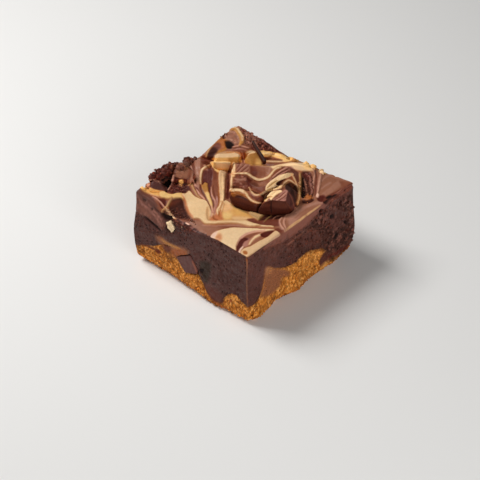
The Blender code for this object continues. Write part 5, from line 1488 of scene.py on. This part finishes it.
    def _swell(self, side: np.ndarray, share: np.ndarray, z: np.ndarray) -> np.ndarray:
        """How far the left and right corners stand out.

        Args:
            side: which side each point is on.
            share: how far along that side.
            z: its height.

        Returns:
            The relief in millimetres outward.
        """
        left = np.select([side == 0, side == 3], [share, 1 - share], 1.0)
        right = np.select([side == 1, side == 2], [1 - share, share], 1.0)
        return sum(np.exp(-(away / self.corner_reach) ** 2) * np.interp(z, self.swell_heights, swell)
                   for away, swell in ((left, self.left_swell), (right, self.right_swell)))

    def strip(self, rows: int) -> np.ndarray:
        """Quads between neighbouring rows and columns of the sides.

        Args:
            rows: how many rows they join.

        Returns:
            The faces, for vertices that run up each column in turn.
        """
        column = np.arange(self.columns)[:, None]
        row = np.arange(rows - 1)[None, :]
        after = (column + 1) % self.columns
        a, b = column * rows + row, after * rows + row
        return np.stack([a, b, b + 1, a + 1], axis=-1).reshape(-1, 4)

    def fan(self, ring: np.ndarray, middle: int, up: bool) -> np.ndarray:
        """Quads that close a ring of vertices round a middle one, each folded flat along one edge.

        Args:
            ring: vertex numbers round the ring.
            middle: the vertex in the middle.
            up: whether they face up.

        Returns:
            The faces, each of two neighbouring triangles of the fan.
        """
        a, b, c = ring[0::2], ring[1::2], np.roll(ring, -2)[0::2]
        quads = np.stack([a, b, c, np.full(len(a), middle)], axis=1)
        return quads if up else quads[:, ::-1]


@dataclass
class CutLayer:
    """A layer's fine skin: its rows of the slice's sides, closed below and above."""

    skin: SliceSkin

    def close(self, first: int, last: int, bottom: float, top: float, tone: Tone
              ) -> tuple[np.ndarray, np.ndarray, np.ndarray]:
        """Gathers the layer's rows and closes them.

        Args:
            first: its lowest row.
            last: its highest row.
            bottom: the height of the middle below.
            top: the height of the middle above.
            tone: the colour of both middles.

        Returns:
            Its points, faces and colours.
        """
        skin, rows = self.skin, last - first + 1
        points = skin.side_points[:, first:last + 1].reshape(-1, 3)
        tint = skin.side_tint[:, first:last + 1].reshape(-1, 3)
        middles = np.array(((0.0, 0.0, bottom), (0.0, 0.0, top)))
        ring = np.arange(skin.columns) * rows
        faces = np.vstack([skin.strip(rows), skin.fan(ring, len(points), up=False),
                           skin.fan(ring + rows - 1, len(points) + 1, up=True)])
        return np.vstack([points, middles]), faces, np.vstack([tint, tone.fill(2)])


@dataclass
class CookieBase(CutLayer):
    """The cookie layer: granules, a crumbled foot and the closed bottom."""

    def build(self) -> bpy.types.Object:
        """Makes the piece.

        Returns:
            The piece.
        """
        skin = self.skin
        made = self.close(0, skin.cookie_rows, 0.0, float(skin.levels[1].mean()), Tone.COOKIE)
        return skin.kitchen.serve("cookie_crumb_skin", *made, Slot.COOKIE, "cookie_base")


@dataclass
class BrownieLayer(CutLayer):
    """The brownie layer, from the cookie's top to the topping's edge."""

    def build(self) -> bpy.types.Object:
        """Makes the piece.

        Returns:
            The piece.
        """
        skin = self.skin
        low, high = (float(skin.levels[k].mean()) for k in (1, 2))
        made = self.close(skin.cookie_rows, skin.cookie_rows + skin.brownie_rows, low, high, Tone.FUDGE)
        return skin.kitchen.serve("brownie_crumb_skin", *made, Slot.BROWNIE, "brownie_layer")


@dataclass
class MarbledTopping:
    """The set chocolate: its cut edge and its marbled, folded top in one skin."""

    skin: SliceSkin
    edge_fade: float = 1.2

    def build(self) -> bpy.types.Object:
        """Makes the piece.

        Returns:
            The piece.
        """
        skin = self.skin
        first = skin.cookie_rows + skin.brownie_rows
        rows = skin.topping_rows + 1
        edge = skin.side_points[:, first:].reshape(-1, 3)
        edge_tint = skin.side_tint[:, first:].reshape(-1, 3)
        rim = skin.side_points[:, -1]
        inner, inner_index, ring_index = self._plan(rim)
        points, tint = self._dress(inner)
        count = len(edge)
        middle = np.array(((0.0, 0.0, float(skin.levels[2].mean())),))
        numbers = np.where(inner_index >= 0, inner_index + count, ring_index * rows + rows - 1)
        quads = np.stack([numbers[:-1, :-1], numbers[1:, :-1], numbers[1:, 1:], numbers[:-1, 1:]], axis=-1)
        ring = np.arange(skin.columns) * rows
        faces = np.vstack([skin.strip(rows), quads.reshape(-1, 4),
                           skin.fan(ring, count + len(points), up=False)])
        edge_tint.reshape(skin.columns, rows, 3)[:, -2:] = self._rim_tint(rim)[:, None]
        every = np.vstack([edge, points, middle])
        tints = np.vstack([edge_tint, tint, Tone.MILK.fill(1)])
        return skin.kitchen.serve("marbled_topping_skin", every, faces, tints, Slot.MILK, "chocolate_topping")

    def _plan(self, rim: np.ndarray) -> tuple[np.ndarray, np.ndarray, np.ndarray]:
        """Plan points of the top inside the rim.

        Args:
            rim: the top row of the sides.

        Returns:
            The inner points, and for each point of the grid its number among them or -1, and its number
            round the rim or -1.
        """
        nx, ny = self.skin.steps_x, self.skin.steps_y
        sides = np.split(rim[:, :2], [nx, nx + ny, 2 * nx + ny])
        front = np.vstack([sides[0], sides[1][:1]])
        right = np.vstack([sides[1], sides[2][:1]])
        back = np.vstack([sides[2], sides[3][:1]])[::-1]
        left = np.vstack([sides[3], sides[0][:1]])[::-1]
        u = np.linspace(0, 1, nx + 1)[:, None, None]
        v = np.linspace(0, 1, ny + 1)[None, :, None]
        plan = ((1 - v) * front[:, None] + v * back[:, None] + (1 - u) * left[None] + u * right[None]
                - (1 - u) * (1 - v) * front[0] - u * (1 - v) * front[-1] - (1 - u) * v * back[0]
                - u * v * back[-1])
        inner_index = np.full((nx + 1, ny + 1), -1)
        inner_index[1:-1, 1:-1] = np.arange((nx - 1) * (ny - 1)).reshape(nx - 1, ny - 1)
        ring_index = np.full((nx + 1, ny + 1), -1)
        ring_index[:-1, 0] = np.arange(nx)
        ring_index[-1, :-1] = nx + np.arange(ny)
        ring_index[1:, -1] = (nx + ny + np.arange(nx))[::-1]
        ring_index[0, 1:] = (2 * nx + ny + np.arange(ny))[::-1]
        return plan[1:-1, 1:-1].reshape(-1, 2), inner_index, ring_index

    def _dress(self, plan: np.ndarray) -> tuple[np.ndarray, np.ndarray]:
        """Points and colours of the top.

        Args:
            plan: plan points inside the rim.

        Returns:
            The points with their relief, and their tint.
        """
        painter = self.skin.kitchen.painter
        flat = np.hstack([plan, self.skin.read_top(plan[:, 0], plan[:, 1])[:, None]])
        up = np.tile(np.array((0.0, 0.0, 1.0)), (len(flat), 1))
        seen = painter.seen(flat, up)
        tint = Tone.MILK.fill(len(flat))
        rise = painter.paint(flat, painter.facing(flat, up), tint, TOP_PAINT)
        inset = np.minimum(HALF_X - np.abs(plan[:, 0]), HALF_Y - np.abs(plan[:, 1]))
        hold = ease(inset / self.edge_fade)
        rough = 0.08 * Grain.layered(flat, 1.6, 301) + 0.12 * Grain.layered(flat, 4.0, 311)
        flat[:, 2] += (rise + rough) * hold
        self.skin.kitchen.grounds["topping"] = Ground(flat, up, seen, tint)
        return flat, tint

    def _rim_tint(self, rim: np.ndarray) -> np.ndarray:
        """Colours the rim as the top is coloured.

        Args:
            rim: the top row of the sides.

        Returns:
            Its colours.
        """
        painter = self.skin.kitchen.painter
        tint = Tone.MILK.fill(len(rim))
        up = np.tile(np.array((0.0, 0.0, 1.0)), (len(rim), 1))
        painter.paint(rim, painter.facing(rim, up), tint, TOP_PAINT)
        return tint


@dataclass(frozen=True)
class Morsel:
    """A broken piece made fine: its node, slot, the tones of its top and sides (a darker side tone is partly painted
    shade), and its relief.
    """

    node: str
    slot: Slot
    top: Tone
    sides: Tone
    voxel: float = 0.3
    rough: float = 0.08
    rough_size: float = 1.4
    mottle: float = 0.12
    sink: float = 0.5
    foot_height: float = 0.4
    seed: int = 1
    grow: float = 0.0
    iterations: int = 2
    shift: tuple[float, float, float] = (0.0, 0.0, 0.0)

    def build(self, kitchen: Kitchen) -> bpy.types.Object:
        """Makes the piece.

        Args:
            kitchen: what it is made with.

        Returns:
            The piece.
        """
        points, faces, normals = self._refine(kitchen)
        # Upright faces take the side tone: mostly darker than the top, partly the piece's own colour and partly
        # painted shade
        facing = ease((normals[:, 2] - 0.3) / 0.4)[:, None]
        tint = self.top.rgb * facing + self.sides.rgb * (1 - facing)
        tint *= (1 + self.mottle * Grain.layered(points, 2.2, 400 + self.seed))[:, None]
        seen = kitchen.painter.seen(points, normals)
        shown = kitchen.painter.facing(points, normals)
        rise = kitchen.painter.paint(points, shown, tint, TOP_PAINT if self.sink else INSET_PAINT)
        # Painted light: upright faces are raised against the weaker light they get
        tint *= 1 + FLANK_LIFT * (1 - facing)
        rise += self.rough * Grain.layered(points, self.rough_size, 420 + self.seed)
        points = points + normals * (rise + self.grow)[:, None]
        kitchen.grounds[self.node] = Ground(points, normals, seen, tint)
        return kitchen.serve(self.node + "_skin", points, faces, tint, self.slot, self.node)

    def _refine(self, kitchen: Kitchen) -> tuple[np.ndarray, np.ndarray, np.ndarray]:
        """The node's solid as an even fine mesh with softened edges.

        Args:
            kitchen: what it is made with.

        Returns:
            Its points, faces and normals.
        """
        mesh = kitchen.nodes[self.node].data.copy()
        rough = bpy.data.objects.new("dough", mesh)
        bpy.context.scene.collection.objects.link(rough)
        remesh = rough.modifiers.new("even", "REMESH")
        remesh.mode = "VOXEL"
        remesh.voxel_size = self.voxel * MM
        softening = rough.modifiers.new("soften", "SMOOTH")
        softening.factor = 0.5
        softening.iterations = self.iterations
        graph = bpy.context.evaluated_depsgraph_get()
        fine = bpy.data.meshes.new_from_object(rough.evaluated_get(graph))
        bpy.data.objects.remove(rough)
        points, faces = read_mesh(fine)
        normals = np.zeros(len(fine.vertices) * 3)
        fine.vertices.foreach_get("normal", normals)
        bpy.data.meshes.remove(fine)
        foot = points[:, 2].min()
        points[points[:, 2] < foot + self.foot_height, 2] -= self.sink
        return points + self.shift, faces, normals.reshape(-1, 3)


MORSELS = (
    Morsel("scooped_chunk", Slot.MILK, Tone.MILK, Tone.BROWN_MILK, 0.22, seed=1),
    Morsel("ledge_chunk", Slot.MILK, Tone.BROWN_MILK, Tone.DARK, 0.2, seed=2),
    Morsel("corner_chunk", Slot.MILK, Tone.BROWN_MILK, Tone.DARK, 0.2, seed=3),
    Morsel("rear_chunk", Slot.MILK, Tone.MAUVE, Tone.BROWN_MILK, 0.3, 0.25, 2.0, seed=4,
           shift=(-0.4, -0.35, 0.0)),
    Morsel("rear_block", Slot.BLONDE, Tone.SHADED_CREAM, Tone.LIGHT_GOLD, 0.22, seed=5),
    Morsel("golden_block", Slot.BLONDE, Tone.GOLD, Tone.CARAMEL, 0.22, seed=6),
    Morsel("milk_chunk", Slot.MILK, Tone.MILK, Tone.DEEP_BROWN, 0.25, 0.15, seed=7),
    Morsel("facet_chunk", Slot.MILK, Tone.MAROON, Tone.DARK, 0.25, seed=8),
    Morsel("crumb_lump", Slot.BROWNIE, Tone.RED_BROWN, Tone.DEEP_BROWN, 0.25, 0.8, 1.3, 0.3, seed=9),
    Morsel("dark_shard", Slot.DARK, Tone.DARK_GREY, Tone.DARK, 0.2, 0.05, sink=0.0, seed=10, grow=0.12),
    Morsel("side_chunk", Slot.DARK, Tone.MAROON, Tone.MAROON, 0.22, 0.12, sink=0.0, seed=11, grow=0.32),
    Morsel("pale_chip", Slot.NUT, Tone.NUT, Tone.NUT, 0.16, 0.5, 1.1, sink=0.0, seed=12, grow=0.15),
)


@dataclass(frozen=True)
class Scatter:
    """Crumbs of one size and tone range on one ground.

    They lie inside an outline on the photograph's picture plane, or inside a box of the slice's own frame.
    """

    ground: str
    count: int
    size: tuple[float, float]
    tones: tuple[Tone, ...]
    outline: Points | None = None
    low: tuple[float, float, float] = (-40.0, -40.0, 0.0)
    high: tuple[float, float, float] = (40.0, 40.0, 60.0)
    borrow: float = 0.6

    def spots(self, kitchen: Kitchen, picker: np.random.Generator
              ) -> tuple[np.ndarray, np.ndarray, np.ndarray]:
        """Chooses where the crumbs lie.

        Args:
            kitchen: what knows the grounds.
            picker: the seeded chooser.

        Returns:
            The crumbs' places, and the outward directions and the ground's colours there.
        """
        ground = kitchen.grounds[self.ground]
        points = ground.points
        allowed = np.all((points >= self.low) & (points <= self.high), axis=1)
        if self.outline is not None:
            allowed &= ground.seen
            index = np.nonzero(allowed)[0]
            depth = area_depth(self.outline, kitchen.camera.picture_points(points[index]))
            allowed[index] = depth > 0
        index = np.nonzero(allowed)[0]
        chosen = picker.choice(index, min(self.count, len(index)), replace=False)
        return points[chosen], ground.normals[chosen], ground.tint[chosen]


@dataclass(frozen=True)
class Crumbs:
    """A piece of many small crumbs that lie half sunk on their grounds."""

    name: str
    slot: Slot
    scatters: tuple[Scatter, ...]
    seed: int
    lift: float = 1.15
    sunk: float = 0.3
    smooth: bool = False

    def build(self, kitchen: Kitchen) -> bpy.types.Object:
        """Makes the piece.

        Args:
            kitchen: what it is made with.

        Returns:
            The piece.
        """
        picker = np.random.default_rng(self.seed)
        ball = bmesh.new()
        bmesh.ops.create_icosphere(ball, subdivisions=2, radius=1.0)
        unit = np.array([v.co for v in ball.verts])
        corners = np.array([[v.index for v in f.verts] for f in ball.faces])
        ball.free()
        points, faces, tints = [], [], []
        for scatter in self.scatters:
            for place, outward, below in zip(*scatter.spots(kitchen, picker)):
                size = scatter.size[0] + (scatter.size[1] - scatter.size[0]) * picker.random() ** 2
                shape = unit * (1 + 0.45 * Grain.smooth(unit * 1.1 + picker.random(3) * 50, 1.0, 5))[:, None]
                shape = shape * picker.uniform(0.55, 1.1, 3)
                turn = Euler(picker.uniform(0, 2 * math.pi, 3)).to_matrix()
                shape = shape @ np.array(turn) * size
                made = place + outward * size * self.sunk + shape
                made[:, 2] = np.maximum(made[:, 2], 0.02)
                faces.append(corners + len(points) * len(unit))
                points.append(made)
                tone = np.array(picker.choice([t.value for t in scatter.tones]), float) * self.lift
                tone = (tone + (below - tone) * scatter.borrow) * picker.uniform(0.8, 1.25)
                tints.append(np.tile(tone, (len(unit), 1)))
        return kitchen.serve(self.name, np.vstack(points), np.vstack(faces), np.vstack(tints), self.slot, None,
                             smooth=self.smooth)


BROWNIE_TONES = (Tone.RED_FUDGE, Tone.FUDGE, Tone.SLAB, Tone.RED_BROWN, Tone.DEEP_BROWN)
COOKIE_TONES = (Tone.COOKIE, Tone.COOKIE_LIGHT, Tone.COOKIE, Tone.COOKIE_DARK)
HEAPS = (
    Crumbs("brownie_crumbs", Slot.BROWNIE, (
        Scatter("brownie", 300, (0.25, 0.7), BROWNIE_TONES, low=(26, 6, 4), high=(36, 40, 36)),
        Scatter("brownie", 110, (0.25, 0.6), BROWNIE_TONES, low=(26, -10, 14), high=(36, 6, 30)),
        Scatter("brownie", 150, (0.2, 0.55), BROWNIE_TONES, low=(-40, 29, 6), high=(40, 40, 36)),
        Scatter("brownie", 150, (0.2, 0.55), BROWNIE_TONES, low=(-40, -30, 6), high=(-27, 40, 36)),
        Scatter("brownie", 130, (0.15, 0.4), BROWNIE_TONES, (136, 190, 148, 190, 176, 222, 210, 236, 200, 240,
            166, 236, 136, 226)),
        Scatter("brownie", 120, (0.12, 0.3), BROWNIE_TONES, low=(-40, -40, 10), high=(31, -29, 35), borrow=0.8),
        Scatter("crumb_lump", 110, (0.3, 0.9), BROWNIE_TONES, borrow=0.3),
        Scatter("topping", 110, (0.3, 1.0), BROWNIE_TONES, (136, 190, 146, 178, 160, 166, 178, 158, 196, 157,
            190, 163, 176, 166, 165, 172, 160, 181, 147, 184), borrow=0.3),
        Scatter("topping", 12, (1.1, 1.9), BROWNIE_TONES, (150, 186, 153, 184, 158, 185, 157, 188, 151, 188),
            borrow=0.2),
        Scatter("topping", 70, (0.2, 0.5), BROWNIE_TONES, (174, 182, 184, 181, 186, 191, 178, 192, 171, 191),
            borrow=0.3),
        Scatter("topping", 110, (0.2, 0.5), BROWNIE_TONES, (168, 208, 176, 212, 186, 217, 196, 222, 190, 230,
            176, 226, 166, 220)),
        Scatter("topping", 60, (0.25, 0.6), BROWNIE_TONES, (301, 171, 309, 171, 313, 182, 312, 196, 302, 198,
            299, 186)),
        Scatter("rear_chunk", 95, (0.25, 0.7), (Tone.PINK, Tone.RED_BROWN, Tone.MAUVE, Tone.BROWN_MILK), (243, 130,
            252, 130, 278, 148, 275, 151.6, 262, 150, 250, 147, 243, 142), borrow=0.5),
        Scatter("rear_chunk", 16, (0.2, 0.5), BROWNIE_TONES, (221, 132, 228, 129, 227, 136, 221, 140)),
        Scatter("topping", 9, (1.2, 2.0), BROWNIE_TONES, (175, 164, 181, 160.6, 187, 160, 187, 165, 180, 168),
            borrow=0.2),
        Scatter("milk_chunk", 8, (1.0, 1.5), BROWNIE_TONES, (173, 165, 180, 162, 186, 164, 186, 167.6, 177, 168.6),
            borrow=0.2),
        Scatter("topping", 6, (1.4, 2.0), (Tone.BROWN_MILK, Tone.MAROON, Tone.MAUVE), (145.4, 186, 148, 184, 152, 184,
            151, 187, 147, 187.4), borrow=0.1),
    ), 21),
    Crumbs("cookie_crumbs", Slot.COOKIE, (
        Scatter("cookie", 1100, (0.16, 0.4), COOKIE_TONES, borrow=0.75),
        Scatter("cookie", 130, (0.3, 0.6), COOKIE_TONES, high=(40, 40, 1.8), borrow=0.6),
    ), 22),
    Crumbs("golden_crumbs", Slot.BLONDE, (
        Scatter("topping", 8, (1.1, 1.8), (Tone.LIT_GOLD, Tone.GOLD, Tone.CARAMEL), (288, 156.6, 293, 156, 298, 160,
            296, 162.6, 289, 160), borrow=0.2),
        Scatter("topping", 9, (1.1, 1.9), (Tone.LIT_GOLD, Tone.LIT_CREAM, Tone.LIT_GOLD), (304, 161, 309, 161,
            315, 165, 313, 168, 306, 166), borrow=0.2),
        Scatter("topping", 5, (1.0, 1.5), (Tone.LIT_CREAM, Tone.LIT_GOLD), (320, 169, 324, 169.6, 327, 173,
            324, 174.6, 321, 173), borrow=0.1),
        Scatter("topping", 3, (0.3, 0.5), (Tone.GOLD, Tone.CARAMEL), (176, 183, 184, 183, 184, 187, 176, 187),
            borrow=0.0),
        Scatter("topping", 6, (0.3, 0.6), (Tone.ORANGE_BROWN, Tone.OLIVE), (302, 193, 312, 193, 312, 202, 302, 202),
            borrow=0.0),
        Scatter("brownie", 5, (0.15, 0.3), (Tone.GLINT, Tone.NUT), (166, 218, 196, 224, 196, 230, 166, 224),
            borrow=0.0),
        Scatter("topping", 5, (0.8, 1.3), (Tone.LIT_GOLD, Tone.GOLD), (141, 186, 146, 183.6, 151, 184.6, 149, 188,
            143, 189), borrow=0.0),
    ), 23, lift=0.95, sunk=-0.3, smooth=True),
)


@dataclass(frozen=True)
class Lamp:
    """A soft square light aimed at the slice. Lengths are metres and its power is watts."""

    name: str
    place: tuple[float, float, float]
    size: float
    power: float
    aim: tuple[float, float, float] = (0.0, 0.0, 0.02)

    def build(self) -> None:
        """Makes the light."""
        data = bpy.data.lights.new(self.name, "AREA")
        data.size = self.size
        data.energy = self.power
        light = bpy.data.objects.new(self.name, data)
        light.location = self.place
        toward = Vector(self.aim) - Vector(self.place)
        light.rotation_mode = "QUATERNION"
        light.rotation_quaternion = toward.to_track_quat("-Z", "Y")
        bpy.context.scene.collection.objects.link(light)


@dataclass
class Studio:
    """Pale floor, soft lights and a plain grey surround."""

    floor_size: float = 3.0
    floor_tone: tuple[float, float, float] = (0.78, 0.77, 0.75)
    floor_roughness: float = 0.9
    surround: float = 0.12
    lamps: tuple[Lamp, ...] = (Lamp("key", (-0.33, -0.1, 0.48), 0.26, 3.1),
                               Lamp("fill", (0.5, -0.2, 0.25), 0.45, 1.8))

    def build(self) -> None:
        """Makes the floor, the lights and the surround."""
        scene = bpy.context.scene
        half = self.floor_size / 2
        mesh = bpy.data.meshes.new("floor")
        mesh.from_pydata([(-half, -half, 0), (half, -half, 0), (half, half, 0), (-half, half, 0)], [],
                         [(0, 1, 2, 3)])
        floor = bpy.data.objects.new("floor", mesh)
        scene.collection.objects.link(floor)
        paper = bpy.data.materials.new("floor paper")
        paper.use_nodes = True
        shader = paper.node_tree.nodes["Principled BSDF"]
        shader.inputs["Base Color"].default_value = (*self.floor_tone, 1)
        shader.inputs["Roughness"].default_value = self.floor_roughness
        mesh.materials.append(paper)

        for lamp in self.lamps:
            lamp.build()
        world = bpy.data.worlds.new("surround")
        world.use_nodes = True
        background = world.node_tree.nodes["Background"]
        background.inputs["Color"].default_value = (1, 1, 1, 1)
        background.inputs["Strength"].default_value = self.surround
        scene.world = world
        scene.view_settings.view_transform = "Standard"


def main() -> None:
    """Builds every piece of the slice, the camera and the studio."""
    logging.basicConfig(level=logging.INFO, format="%(name)s: %(message)s")
    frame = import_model()
    for old in [o for o in bpy.context.scene.objects if o.type in ("LIGHT", "CAMERA")]:
        bpy.data.objects.remove(old)
    kitchen = Kitchen(frame["nodes"])
    skin = SliceSkin(kitchen)
    pieces = [layer(skin).build() for layer in (CookieBase, BrownieLayer, MarbledTopping)]
    pieces += [recipe.build(kitchen) for recipe in (*MORSELS, *HEAPS)]
    for piece in pieces:
        LOG.info("%s: %d vertices, %d faces", piece.name, len(piece.data.vertices), len(piece.data.polygons))
    kitchen.camera.build()
    Studio().build()


if __name__ == "__main__":
    main()
